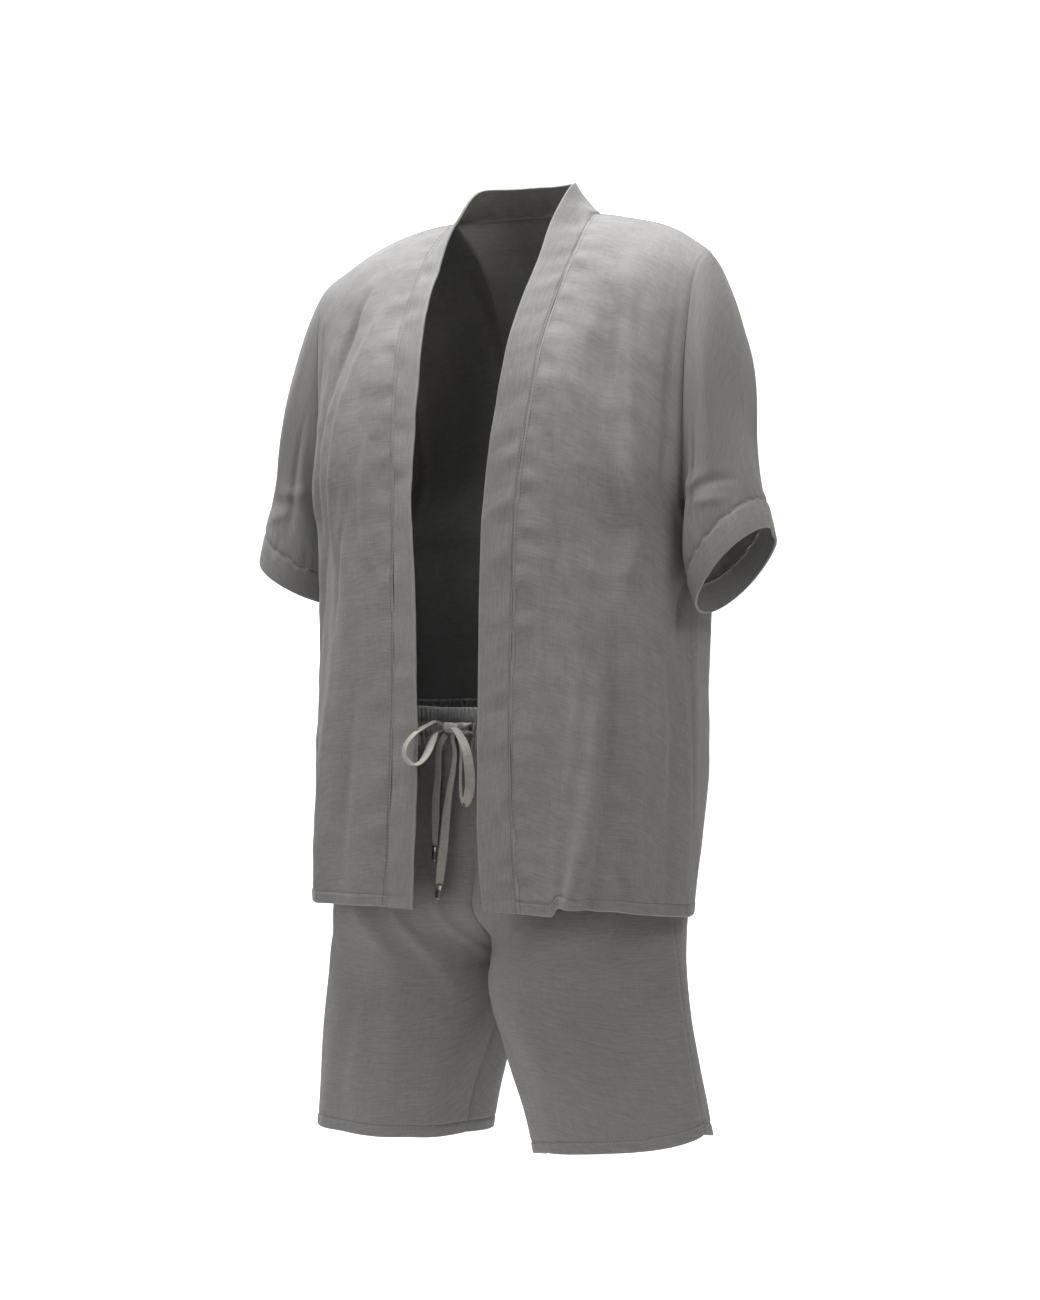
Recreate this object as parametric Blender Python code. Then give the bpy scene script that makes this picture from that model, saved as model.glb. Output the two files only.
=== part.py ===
"""Open half-sleeved kimono jacket with matching drawstring shorts, holding the worn shape with no wearer.

Units are metres, +Z is up, the front faces -Y and the wearer's left side is +X. The origin is at the base of the
neck, level with the shoulders, where a wearer or a form holds the jacket. Every cloth piece is a thin closed wall.
Its outer surface is a grid of rows, read from a short table of levels, and neighbouring pieces share the points of
their seam before each one is drawn back from it.
"""

import math
from collections import namedtuple

import bpy
import numpy as np

CLOTH = 0.0014  # wall of one layer of cloth
BAND_WALL = 0.0026  # wall of the folded neck band and the cuffs
WAIST_WALL = 0.0030  # wall of the waistband around its elastic
SEAM_GAP = 0.0004  # space between two pieces at their seam
CUFF_DEPTH = 0.031
SHOULDER_RISE = 0.012  # how far the shoulder seam arches over its straight line
WAIST_TOP = -0.490
WAIST_BOTTOM = -0.534
GATHERS = 172  # gathers of cloth round the elastic waistband
GATHER_DEPTH = 0.0009
TUNNELS = 3  # stitched tunnels, one above the other, in the waistband
TUNNEL_RISE = 0.0011
CORD_DIAMETER = 0.0040
CORD_STEP = 1.5  # space between a strand's points, in diameters

FRONT_CELLS = 10  # columns of one front, and of the shoulder part of the back
NECK_CELLS = 4  # columns of half the back under the neckline
ARM_CELLS = 9  # rows down to the underarm
BODY_CELLS = 13  # rows from the underarm to the hem
BAND_CELLS = 3
SLEEVE_CELLS = 7
CUFF_CELLS = 2
LEG_CELLS = 9  # columns of one quarter of the shorts
RISE_CELLS = 7  # rows down to the crotch
THIGH_CELLS = 7  # rows from the crotch to the leg hem
NECK_SHARE = 0.30  # share of half the back's width that is under the neckline
UNDERARM_LEVEL = 7
CROTCH_LEVEL = 4

# A level of one front: its free edge, its band seam, its outer side (armhole or side seam), the headings in degrees
# at which a row leaves the band seam and reaches the outer side, and how far its two handles reach along the chord.
Level = namedtuple(
    "Level", "edge_x edge_y edge_z seam_x seam_y seam_z side_x side_y side_z leave arrive near far"
)
LEFT_FRONT = [
    Level(0.060, 0.012, 0.044, 0.085, 0.012, 0.009, 0.228, 0.000, -0.047, 0, 0, 0.34, 0.34),
    Level(0.062, -0.030, 0.002, 0.0915, -0.022, -0.020, 0.228, -0.022, -0.058, 6, 12, 0.34, 0.34),
    Level(0.064, -0.058, -0.040, 0.0940, -0.050, -0.050, 0.228, -0.038, -0.085, 10, 25, 0.36, 0.34),
    Level(0.063, -0.088, -0.084, 0.0950, -0.078, -0.088, 0.227, -0.047, -0.130, 10, 40, 0.38, 0.34),
    Level(0.061, -0.110, -0.127, 0.0955, -0.103, -0.130, 0.226, -0.050, -0.180, 8, 52, 0.42, 0.34),
    Level(0.058, -0.122, -0.173, 0.0955, -0.118, -0.175, 0.226, -0.050, -0.230, 4, 62, 0.48, 0.34),
    Level(0.053, -0.131, -0.230, 0.0905, -0.129, -0.232, 0.224, -0.043, -0.280, 0, 75, 0.52, 0.38),
    Level(0.048, -0.136, -0.295, 0.0860, -0.134, -0.295, 0.219, -0.012, -0.330, -3, 90, 0.54, 0.42),
    Level(0.046, -0.138, -0.370, 0.0835, -0.135, -0.370, 0.214, -0.013, -0.380, -3, 90, 0.56, 0.44),
    Level(0.045, -0.139, -0.460, 0.0820, -0.136, -0.460, 0.216, -0.015, -0.460, -3, 90, 0.56, 0.44),
    Level(0.044, -0.139, -0.545, 0.0815, -0.136, -0.545, 0.219, -0.016, -0.545, -3, 90, 0.56, 0.44),
    Level(0.043, -0.137, -0.625, 0.0835, -0.134, -0.625, 0.219, -0.017, -0.625, -2, 90, 0.56, 0.44),
    Level(0.047, -0.134, -0.690, 0.0870, -0.131, -0.690, 0.217, -0.018, -0.696, -2, 90, 0.56, 0.44),
]
RIGHT_FRONT = [
    Level(0.060, 0.012, 0.044, 0.085, 0.012, 0.009, 0.228, 0.000, -0.047, 0, 0, 0.34, 0.34),
    Level(0.061, -0.026, 0.002, 0.0880, -0.022, -0.020, 0.227, -0.022, -0.058, 6, 12, 0.34, 0.34),
    Level(0.056, -0.055, -0.038, 0.0860, -0.050, -0.050, 0.224, -0.038, -0.085, 10, 25, 0.36, 0.34),
    Level(0.048, -0.090, -0.082, 0.0815, -0.078, -0.088, 0.221, -0.045, -0.130, 10, 40, 0.38, 0.32),
    Level(0.040, -0.114, -0.127, 0.0750, -0.103, -0.130, 0.219, -0.046, -0.180, 8, 54, 0.42, 0.32),
    Level(0.034, -0.129, -0.173, 0.0690, -0.118, -0.175, 0.218, -0.046, -0.230, 4, 64, 0.46, 0.32),
    Level(0.031, -0.141, -0.230, 0.0640, -0.129, -0.232, 0.216, -0.040, -0.280, 0, 76, 0.48, 0.34),
    Level(0.028, -0.150, -0.295, 0.0600, -0.134, -0.295, 0.211, -0.012, -0.330, -4, 90, 0.50, 0.36),
    Level(0.023, -0.151, -0.370, 0.0580, -0.136, -0.370, 0.206, -0.013, -0.380, -4, 90, 0.52, 0.38),
    Level(0.021, -0.151, -0.460, 0.0570, -0.138, -0.460, 0.208, -0.015, -0.460, -4, 90, 0.52, 0.40),
    Level(0.021, -0.149, -0.545, 0.0590, -0.138, -0.545, 0.211, -0.016, -0.545, -4, 90, 0.52, 0.40),
    Level(0.026, -0.147, -0.625, 0.0640, -0.137, -0.625, 0.215, -0.017, -0.625, -3, 90, 0.52, 0.40),
    Level(0.031, -0.143, -0.692, 0.0700, -0.135, -0.692, 0.217, -0.018, -0.698, -3, 90, 0.52, 0.42),
]

# A level of the back: its centre line and how far its two handles reach along the chord.
Spine = namedtuple("Spine", "y z near far armhole_y")
BACK = [
    Spine(0.080, 0.018, 0.34, 0.30, 0.000),
    Spine(0.092, -0.012, 0.36, 0.30, 0.022),
    Spine(0.101, -0.052, 0.38, 0.30, 0.038),
    Spine(0.107, -0.098, 0.42, 0.32, 0.046),
    Spine(0.111, -0.146, 0.46, 0.34, 0.048),
    Spine(0.113, -0.195, 0.50, 0.36, 0.047),
    Spine(0.114, -0.250, 0.52, 0.38, 0.036),
    Spine(0.114, -0.312, 0.54, 0.42, -0.012),
    Spine(0.113, -0.376, 0.56, 0.44, -0.013),
    Spine(0.119, -0.460, 0.56, 0.44, -0.015),
    Spine(0.122, -0.546, 0.56, 0.44, -0.016),
    Spine(0.106, -0.628, 0.56, 0.44, -0.017),
    Spine(0.093, -0.702, 0.56, 0.42, -0.018),
]

# A sleeve: the centre of its rim, the rim's half sizes, its tilt from level and how far the sleeve leans outwards.
Sleeve = namedtuple("Sleeve", "x y z across along tilt lean")
LEFT_SLEEVE = Sleeve(0.268, -0.016, -0.354, 0.055, 0.052, 50, 20)
RIGHT_SLEEVE = Sleeve(0.262, -0.016, -0.364, 0.050, 0.053, 31, 16)

# A level of one half of the shorts: the front and back middle lines (the rise, then the inseam), the side seam, and
# the handles of the front row and of the back row.
Half = namedtuple("Half", "front_x front_y back_x back_y inner_z side_x side_y side_z leave near far")
LEFT_HALF = [
    Half(0.000, -0.104, 0.000, 0.098, -0.534, 0.156, -0.006, -0.534, 0, 0.44, 0.38),
    Half(0.006, -0.098, 0.000, 0.100, -0.585, 0.176, -0.010, -0.585, 0, 0.50, 0.40),
    Half(0.008, -0.090, 0.000, 0.094, -0.640, 0.187, -0.014, -0.640, 4, 0.54, 0.42),
    Half(0.008, -0.074, 0.001, 0.066, -0.700, 0.196, -0.016, -0.695, 26, 0.56, 0.42),
    Half(0.002, -0.004, 0.002, -0.004, -0.752, 0.203, -0.016, -0.748, 84, 0.58, 0.44),
    Half(0.006, -0.005, 0.006, -0.005, -0.800, 0.209, -0.015, -0.798, 88, 0.60, 0.46),
    Half(0.018, -0.008, 0.018, -0.008, -0.850, 0.216, -0.013, -0.840, 90, 0.60, 0.48),
    Half(0.031, -0.010, 0.031, -0.010, -0.900, 0.223, -0.012, -0.876, 90, 0.58, 0.48),
    Half(0.043, -0.012, 0.043, -0.012, -0.950, 0.230, -0.011, -0.912, 90, 0.56, 0.48),
]
RIGHT_HALF = [
    Half(0.000, -0.104, 0.000, 0.098, -0.534, 0.156, -0.006, -0.534, 0, 0.44, 0.38),
    Half(-0.006, -0.098, 0.000, 0.100, -0.585, 0.178, -0.010, -0.585, 0, 0.50, 0.40),
    Half(-0.008, -0.090, 0.000, 0.094, -0.640, 0.189, -0.014, -0.640, 4, 0.54, 0.42),
    Half(-0.008, -0.074, -0.001, 0.066, -0.700, 0.200, -0.016, -0.698, 26, 0.56, 0.42),
    Half(-0.002, -0.004, -0.002, -0.004, -0.752, 0.209, -0.016, -0.754, 84, 0.56, 0.44),
    Half(0.012, -0.008, 0.012, -0.008, -0.800, 0.216, -0.015, -0.802, 88, 0.56, 0.46),
    Half(0.028, -0.012, 0.028, -0.012, -0.848, 0.222, -0.013, -0.850, 90, 0.54, 0.48),
    Half(0.042, -0.016, 0.042, -0.016, -0.892, 0.227, -0.012, -0.896, 90, 0.53, 0.48),
    Half(0.050, -0.018, 0.050, -0.018, -0.936, 0.231, -0.011, -0.940, 90, 0.52, 0.48),
]

# A fold: where it starts and ends across (u) and down (v) its panel, its half width in metres and its rise.
Fold = namedtuple("Fold", "u0 v0 u1 v1 width rise")
LEFT_FRONT_FOLDS = [
    Fold(0.30, 0.10, 0.42, 0.50, 0.030, -0.009),  # hollow of the chest
    Fold(0.33, 0.66, 0.30, 1.10, 0.018, 0.016),  # cone that opens towards the hem
    Fold(0.50, 0.62, 0.47, 1.10, 0.024, -0.010),
    Fold(0.80, 0.40, 0.76, 0.80, 0.016, 0.006),
    Fold(0.62, 0.25, 0.60, 0.52, 0.022, 0.005),
]
RIGHT_FRONT_FOLDS = [
    Fold(0.30, 0.28, 0.25, 0.62, 0.014, 0.006),
    Fold(0.48, 0.18, 0.50, 0.70, 0.014, -0.006),
    Fold(0.72, 0.30, 0.70, 0.80, 0.020, 0.006),
    Fold(0.40, 0.66, 0.36, 1.10, 0.020, 0.007),
]
BACK_FOLDS = [
    Fold(-0.62, 0.20, -0.55, 0.90, 0.020, -0.006),
    Fold(-0.20, 0.25, -0.26, 1.10, 0.024, 0.007),
    Fold(0.12, 0.30, 0.10, 0.95, 0.018, -0.006),
    Fold(0.55, 0.22, 0.50, 1.05, 0.022, 0.007),
]
SHORTS_FRONT_FOLDS = [
    Fold(0.38, 0.10, 0.46, 0.70, 0.016, 0.006),
    Fold(0.66, 0.35, 0.62, 1.10, 0.022, -0.006),
    Fold(0.20, 0.45, 0.30, 1.10, 0.016, -0.005),
]
SHORTS_BACK_FOLDS = [
    Fold(0.35, 0.25, 0.42, 1.10, 0.020, -0.006),
    Fold(0.65, 0.15, 0.60, 0.85, 0.020, 0.006),
]

# The knot of the bow: its centre and half sizes. It lies against the waistband.
KNOT = (-0.0052, -0.1099, -0.5110)
KNOT_HALF = (0.0103, 0.0044, 0.0052)

# The drawstring's strands, each a route through points (x, y, z). Loops start and end at the knot.
LOOP_RIGHT = [
    (-0.0172, -0.1104, -0.5080),
    (-0.0205, -0.1154, -0.5045),
    (-0.0185, -0.1269, -0.5040),
    (-0.0150, -0.1409, -0.5085),
    (-0.0165, -0.1524, -0.5145),
    (-0.0235, -0.1579, -0.5235),
    (-0.0285, -0.1589, -0.5325),
    (-0.0270, -0.1589, -0.5395),
    (-0.0215, -0.1584, -0.5440),
    (-0.0155, -0.1564, -0.5450),
    (-0.0110, -0.1519, -0.5400),
    (-0.0115, -0.1429, -0.5325),
    (-0.0150, -0.1319, -0.5245),
    (-0.0190, -0.1214, -0.5180),
    (-0.0215, -0.1134, -0.5150),
    (-0.0172, -0.1099, -0.5140),
]
LOOP_LEFT = [
    (0.0010, -0.1161, -0.5110),
    (0.0065, -0.1194, -0.5125),
    (0.0165, -0.1234, -0.5215),
    (0.0235, -0.1264, -0.5315),
    (0.0265, -0.1269, -0.5440),
    (0.0275, -0.1259, -0.5580),
    (0.0260, -0.1239, -0.5710),
    (0.0185, -0.1194, -0.5835),
    (0.0100, -0.1149, -0.5820),
    (0.0070, -0.1129, -0.5665),
    (0.0065, -0.1114, -0.5485),
    (0.0058, -0.1102, -0.5315),
    (0.0025, -0.1099, -0.5172),
]
END_RIGHT = [
    (-0.0118, -0.1099, -0.5176),
    (-0.0165, -0.1100, -0.5230),
    (-0.0205, -0.1102, -0.5330),
    (-0.0212, -0.1104, -0.5450),
    (-0.0220, -0.1099, -0.5605),
    (-0.0250, -0.1089, -0.5830),
    (-0.0262, -0.1079, -0.6060),
    (-0.0276, -0.1074, -0.6305),
]
END_LEFT = [
    (-0.0045, -0.1099, -0.5170),
    (-0.0035, -0.1102, -0.5240),
    (-0.0010, -0.1104, -0.5320),
    (-0.0010, -0.1109, -0.5430),
    (-0.0035, -0.1109, -0.5580),
    (-0.0080, -0.1104, -0.5770),
    (-0.0115, -0.1099, -0.5975),
    (-0.0150, -0.1089, -0.6225),
    (-0.0190, -0.1079, -0.6470),
    (-0.0222, -0.1074, -0.6690),
]
EXIT_UPPER = [
    (0.0060, -0.1099, -0.5080),
    (0.0100, -0.1095, -0.5074),
    (0.0128, -0.1079, -0.5067),
    (0.0138, -0.1050, -0.5065),
]
EXIT_LOWER = [
    (0.0060, -0.1099, -0.5138),
    (0.0100, -0.1095, -0.5143),
    (0.0136, -0.1079, -0.5150),
    (0.0146, -0.1055, -0.5152),
]
TIP_LENGTH = 0.0145
TIP_RADIUS = 0.0029
TIP_SIDES = 14
KNOT_SIDES = 12

GREY_CLOTH = (0.168, 0.163, 0.155)
CORD_CLOTH = (0.42, 0.40, 0.355)
TIP_METAL = (0.30, 0.29, 0.28)


def clear_scene():
    """Removes every object that the file starts with."""
    for obj in list(bpy.data.objects):
        bpy.data.objects.remove(obj, do_unlink=True)


def material(name, colour, roughness, metallic=0.0):
    """Returns a Principled material of one colour."""
    mat = bpy.data.materials.new(name)
    mat.use_nodes = True
    shader = mat.node_tree.nodes["Principled BSDF"]
    shader.inputs["Base Color"].default_value = (*colour, 1.0)
    shader.inputs["Roughness"].default_value = roughness
    shader.inputs["Metallic"].default_value = metallic
    return mat


def smooth_rows(rows, places):
    """Reads a table between its rows: a cubic that passes through each row, at places from 0 to the last row."""
    table = np.asarray(rows, float)
    last = len(table) - 1
    places = np.clip(np.asarray(places, float), 0, last)
    start = np.minimum(places.astype(int), last - 1)
    part = (places - start)[:, None]
    padded = np.vstack([2 * table[0] - table[1], table, 2 * table[-1] - table[-2]])
    before, here, there, after = (padded[start + k] for k in range(4))
    return 0.5 * (
        2 * here
        + (there - before) * part
        + (2 * before - 5 * here + 4 * there - after) * part**2
        + (3 * here - before - 3 * there + after) * part**3
    )


def cornered_rows(rows, places, corner):
    """Reads a table like smooth_rows, with a corner at one of its rows instead of a smooth passage."""
    upper = smooth_rows(rows[: corner + 1], places)
    lower = smooth_rows(rows[corner:], places - corner)
    return np.where((places <= corner)[:, None], upper, lower)


def bezier(start, leave, arrive, end, u):
    """Cubic rows between two columns of points (rows, 3), read at u (columns)."""
    u = np.asarray(u)[None, :, None]
    start, leave, arrive, end = (p[:, None, :] for p in (start, leave, arrive, end))
    v = 1 - u
    return v**3 * start + 3 * v**2 * u * leave + 3 * v * u**2 * arrive + u**3 * end


def body_places():
    """Places down the jacket's levels: closer together at the neck, then evenly from the underarm to the hem."""
    upper = UNDERARM_LEVEL * np.linspace(0, 1, ARM_CELLS + 1) ** 1.2
    lower = np.linspace(UNDERARM_LEVEL, len(LEFT_FRONT) - 1, BODY_CELLS + 1)
    return np.concatenate([upper, lower[1:]])


def leg_places():
    """Places down the shorts' levels: evenly to the crotch, then evenly to the leg hem."""
    upper = np.linspace(0, CROTCH_LEVEL, RISE_CELLS + 1)
    lower = np.linspace(CROTCH_LEVEL, len(LEFT_HALF) - 1, THIGH_CELLS + 1)
    return np.concatenate([upper, lower[1:]])


def front_panel(levels, side, places):
    """One front: rows that leave the band seam and turn towards the armhole or the side seam."""
    row = smooth_rows(levels, places)
    names = {name: row[:, k] for k, name in enumerate(Level._fields)}
    seam = np.stack([side * names["seam_x"], names["seam_y"], names["seam_z"]], 1)
    outer = np.stack([side * names["side_x"], names["side_y"], names["side_z"]], 1)
    chord = outer - seam
    length = np.linalg.norm(chord, axis=1)
    leave = np.radians(names["leave"])
    arrive = np.radians(names["arrive"])
    near = names["near"] * length
    far = names["far"] * length
    arch = 4 / 3 * SHOULDER_RISE * np.clip(1 - places / 3, 0, 1)
    first_z = chord[:, 2] * names["near"] + arch
    second_z = chord[:, 2] * names["far"] - arch
    first = seam + np.stack([side * np.cos(leave) * near, -np.sin(leave) * near, first_z], 1)
    second = outer - np.stack([side * np.cos(arrive) * far, np.sin(arrive) * far, second_z], 1)
    return bezier(seam, first, second, outer, np.linspace(0, 1, FRONT_CELLS + 1))


def neck_arc(count, half_width, depth, front_y, side_z, back_z):
    """Points round the back of the neck, from the middle of the back to the side of the neck."""
    turn = np.linspace(0, math.pi / 2, count + 1)
    y = front_y + depth * np.cos(turn)
    z = side_z + (back_z - side_z) * np.cos(turn)
    return np.stack([half_width * np.sin(turn), y, z], 1)


def back_half(levels, side, places):
    """Half of the back, from its middle to one side. Its top follows the neckline, then the shoulder seam."""
    front = smooth_rows(levels, places)
    spine = smooth_rows(BACK, places)
    names = {name: front[:, k] for k, name in enumerate(Level._fields)}
    middle = np.stack([np.zeros(len(spine)), spine[:, 0], spine[:, 1]], 1)
    outer_y = np.where(places < UNDERARM_LEVEL, spine[:, 4], names["side_y"])
    outer = np.stack([side * names["side_x"], outer_y, names["side_z"]], 1)
    chord = outer - middle
    length = np.linalg.norm(chord, axis=1)
    near = spine[:, 2] * length
    far = spine[:, 3] * length
    turn = np.radians(names["arrive"])
    first = middle + np.stack([side * near, np.zeros(len(near)), 0.15 * chord[:, 2]], 1)
    second = outer + np.stack([-side * np.cos(turn) * far, np.sin(turn) * far, -0.35 * chord[:, 2]], 1)
    u = np.concatenate([np.linspace(0, NECK_SHARE, NECK_CELLS + 1), np.linspace(NECK_SHARE, 1, FRONT_CELLS + 1)[1:]])
    rows = bezier(middle, first, second, outer, u)
    top = levels[0]
    neck = neck_arc(NECK_CELLS, top.seam_x, BACK[0].y - top.seam_y, top.seam_y, top.seam_z, BACK[0].z)
    neck[:, 0] *= side
    shoulder = front_panel(levels, side, np.array([0.0]))[0]
    wanted = np.vstack([neck, shoulder[1:]])
    fade = np.clip(1 - places / 5.0, 0, 1)[:, None, None] ** 2
    return rows + (wanted - rows[0])[None] * fade


def fold_offsets(grid, u, v, folds):
    """Height of all folds at each point: a smooth ridge along each fold's line that fades at its two ends."""
    height = np.zeros(grid.shape[:2])
    across = np.linalg.norm(grid[:, -1] - grid[:, 0], axis=1).mean() / abs(u[-1] - u[0])
    down = np.linalg.norm(grid[-1] - grid[0], axis=1).mean()
    uu, vv = np.meshgrid(u, v)
    for fold in folds:
        along = np.clip((vv - fold.v0) / (fold.v1 - fold.v0), 0, 1)
        line = fold.u0 + (fold.u1 - fold.u0) * along
        beyond = np.maximum(fold.v0 - vv, 0) + np.maximum(vv - fold.v1, 0)
        distance = np.hypot((uu - line) * across, beyond * down)
        fade = np.sin(math.pi * np.clip(along, 0.02, 0.98)) ** 0.6
        height += fold.rise * fade * np.exp(-((distance / fold.width) ** 2))
    return height


def outward(name):
    """Which way a named grid's own normals must be turned to point out of the garment."""
    side = 1 if name.endswith("left") else -1
    if name.startswith(("jacket_front", "shorts_front")):
        return -side
    if name.startswith(("sleeve", "cuff", "shorts_back")):
        return side
    return 1


def point_normals(grids, turns):
    """Normals shared by all grids: faces add up at each point, and points that coincide are one point."""
    totals = {}
    keys = []
    for grid, turn in zip(grids, turns):
        normal = np.zeros_like(grid)
        face = turn * np.cross(grid[1:, 1:] - grid[:-1, :-1], grid[1:, :-1] - grid[:-1, 1:])
        normal[:-1, :-1] += face
        normal[1:, :-1] += face
        normal[:-1, 1:] += face
        normal[1:, 1:] += face
        key = [tuple(p) for p in np.round(grid.reshape(-1, 3), 5)]
        keys.append(key)
        for k, n in zip(key, normal.reshape(-1, 3)):
            totals[k] = totals.get(k, 0) + n
    out = []
    for grid, key in zip(grids, keys):
        normal = np.array([totals[k] for k in key]).reshape(grid.shape)
        out.append(normal / np.maximum(np.linalg.norm(normal, axis=2, keepdims=True), 1e-12))
    return out


def drawn_back(grid, closed, step):
    """Moves a grid's border in by a step, so that it stands clear of its neighbours."""
    moved = grid.copy()

    def pull(border, inside):
        way = inside - border
        way /= np.maximum(np.linalg.norm(way, axis=1, keepdims=True), 1e-9)
        run = np.gradient(border, axis=0)
        run /= np.maximum(np.linalg.norm(run, axis=1, keepdims=True), 1e-9)
        square = np.sqrt(np.maximum(1 - (way * run).sum(1, keepdims=True) ** 2, 0.15))
        return step * way / square

    moved[0] += pull(grid[0], grid[1])
    moved[-1] += pull(grid[-1], grid[-2])
    if not closed:
        moved[:, 0] += pull(grid[:, 0], grid[:, 1])
        moved[:, -1] += pull(grid[:, -1], grid[:, -2])
    return moved


def wall_mesh(name, outer, inner, closed, mat):
    """A closed wall between two grids of the same shape. A closed grid joins its last column to its first."""
    rows, columns = outer.shape[:2]
    points = np.concatenate([outer.reshape(-1, 3), inner.reshape(-1, 3)])
    half = rows * columns
    faces = []
    last = columns if closed else columns - 1

    def index(r, c, layer):
        return layer * half + r * columns + c % columns

    for r in range(rows - 1):
        for c in range(last):
            a, b, d, e = index(r, c, 0), index(r, c + 1, 0), index(r + 1, c + 1, 0), index(r + 1, c, 0)
            faces.append((a, e, d, b))
            faces.append(tuple(half + k for k in (a, b, d, e)))
    for c in range(last):
        faces.append((index(0, c, 0), index(0, c + 1, 0), index(0, c + 1, 1), index(0, c, 1)))
        r = rows - 1
        faces.append((index(r, c + 1, 0), index(r, c, 0), index(r, c, 1), index(r, c + 1, 1)))
    if not closed:
        for r in range(rows - 1):
            faces.append((index(r + 1, 0, 0), index(r, 0, 0), index(r, 0, 1), index(r + 1, 0, 1)))
            c = columns - 1
            faces.append((index(r, c, 0), index(r + 1, c, 0), index(r + 1, c, 1), index(r, c, 1)))
    mesh = bpy.data.meshes.new(name)
    mesh.from_pydata(points.tolist(), [], faces)
    mesh.update()
    mesh.shade_smooth()
    mesh.set_sharp_from_angle(angle=math.radians(50))
    mesh.materials.append(mat)
    obj = bpy.data.objects.new(name, mesh)
    bpy.context.collection.objects.link(obj)
    return obj


def face_outwards(obj):
    """Turns the whole mesh round if its faces point in, which a mirrored grid brings."""
    mesh = obj.data
    volume = 0.0
    for polygon in mesh.polygons:
        corners = [mesh.vertices[k].co for k in polygon.vertices]
        for k in range(1, len(corners) - 1):
            volume += corners[0].dot(corners[k].cross(corners[k + 1]))
    if volume < 0:
        mesh.flip_normals()


def jacket_grids():
    """The jacket's outer surface: both fronts, the back, the neck band, the sleeves and the cuffs."""
    places = body_places()
    v = np.linspace(0, 1, len(places))
    u = np.linspace(0, 1, FRONT_CELLS + 1)
    grids = {}
    for name, levels, side, folds in (
        ("jacket_front_left", LEFT_FRONT, 1, LEFT_FRONT_FOLDS),
        ("jacket_front_right", RIGHT_FRONT, -1, RIGHT_FRONT_FOLDS),
    ):
        base = front_panel(levels, side, places)
        normal = point_normals([base], [outward(name)])[0]
        calm = np.clip(np.sin(math.pi * u), 0, 1) ** 0.5 * np.clip(v * 12, 0, 1)[:, None]
        grids[name] = base + normal * (fold_offsets(base, u, v, folds) * calm)[..., None]
    left = back_half(LEFT_FRONT, 1, places)
    right = back_half(RIGHT_FRONT, -1, places)
    back = np.concatenate([right[:, ::-1], left[:, 1:]], axis=1)
    across = np.linspace(-1, 1, back.shape[1])
    normal = point_normals([back], [outward("jacket_back")])[0]
    calm = np.clip((1 - np.abs(across)) * 4, 0, 1) * np.clip(v * 5, 0, 1)[:, None]
    back_folded = back + normal * (fold_offsets(back, across, v, BACK_FOLDS) * calm)[..., None]
    middle = back.shape[1] // 2
    grids["jacket_back_right"] = back_folded[:, : middle + 1]
    grids["jacket_back_left"] = back_folded[:, middle:]
    grids["neck_band"] = band_grid(grids, places)
    for name, side, shape in (("left", 1, LEFT_SLEEVE), ("right", -1, RIGHT_SLEEVE)):
        front = grids["jacket_front_" + name][: ARM_CELLS + 1, -1]
        rear = back[: ARM_CELLS + 1, -1 if side > 0 else 0]
        loop = np.concatenate([front, rear[1:-1][::-1]])
        sleeve, cuff = sleeve_grids(loop, side, shape)
        grids["sleeve_" + name] = sleeve
        grids["cuff_" + name] = cuff
    return grids


def band_grid(grids, places):
    """The neck band: from the right hem up round the back of the neck and down to the left hem."""
    seams = []
    edges = []
    for levels, side in ((RIGHT_FRONT, -1), (LEFT_FRONT, 1)):
        row = smooth_rows(levels, places)
        edge = row[:, :3] * [side, 1, 1]
        seam = row[:, 3:6] * [side, 1, 1]
        seams.append(seam)
        edges.append(edge)
    top = LEFT_FRONT[0]
    arc_seam = neck_arc(NECK_CELLS, top.seam_x, BACK[0].y - top.seam_y, top.seam_y, top.seam_z, BACK[0].z)
    arc_edge = neck_arc(NECK_CELLS, top.edge_x, 0.048, top.edge_y, top.edge_z, 0.0475)
    for arc, lines in ((arc_seam, seams), (arc_edge, edges)):
        mirrored = arc[::-1] * [-1, 1, 1]
        lines.append(np.concatenate([lines[0][::-1], mirrored[1:], arc[1:], lines[1][1:]]))
    seam, edge = seams[2], edges[2]
    share = np.linspace(0, 1, BAND_CELLS + 1)[None, :, None]
    return seam[:, None] * (1 - share) + edge[:, None] * share


def ring(shape, side, turns):
    """The sleeve's rim: a tilted oval with its outer end up. Turn 0 is its outer end, a quarter turn its front."""
    tilt = math.radians(shape.tilt)
    outwards = np.array([side * math.cos(tilt), 0, math.sin(tilt)])
    centre = np.array([side * shape.x, shape.y, shape.z])
    forwards = np.array([0, -1, 0])
    return centre + shape.across * np.cos(turns)[:, None] * outwards + shape.along * np.sin(turns)[:, None] * forwards


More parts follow.
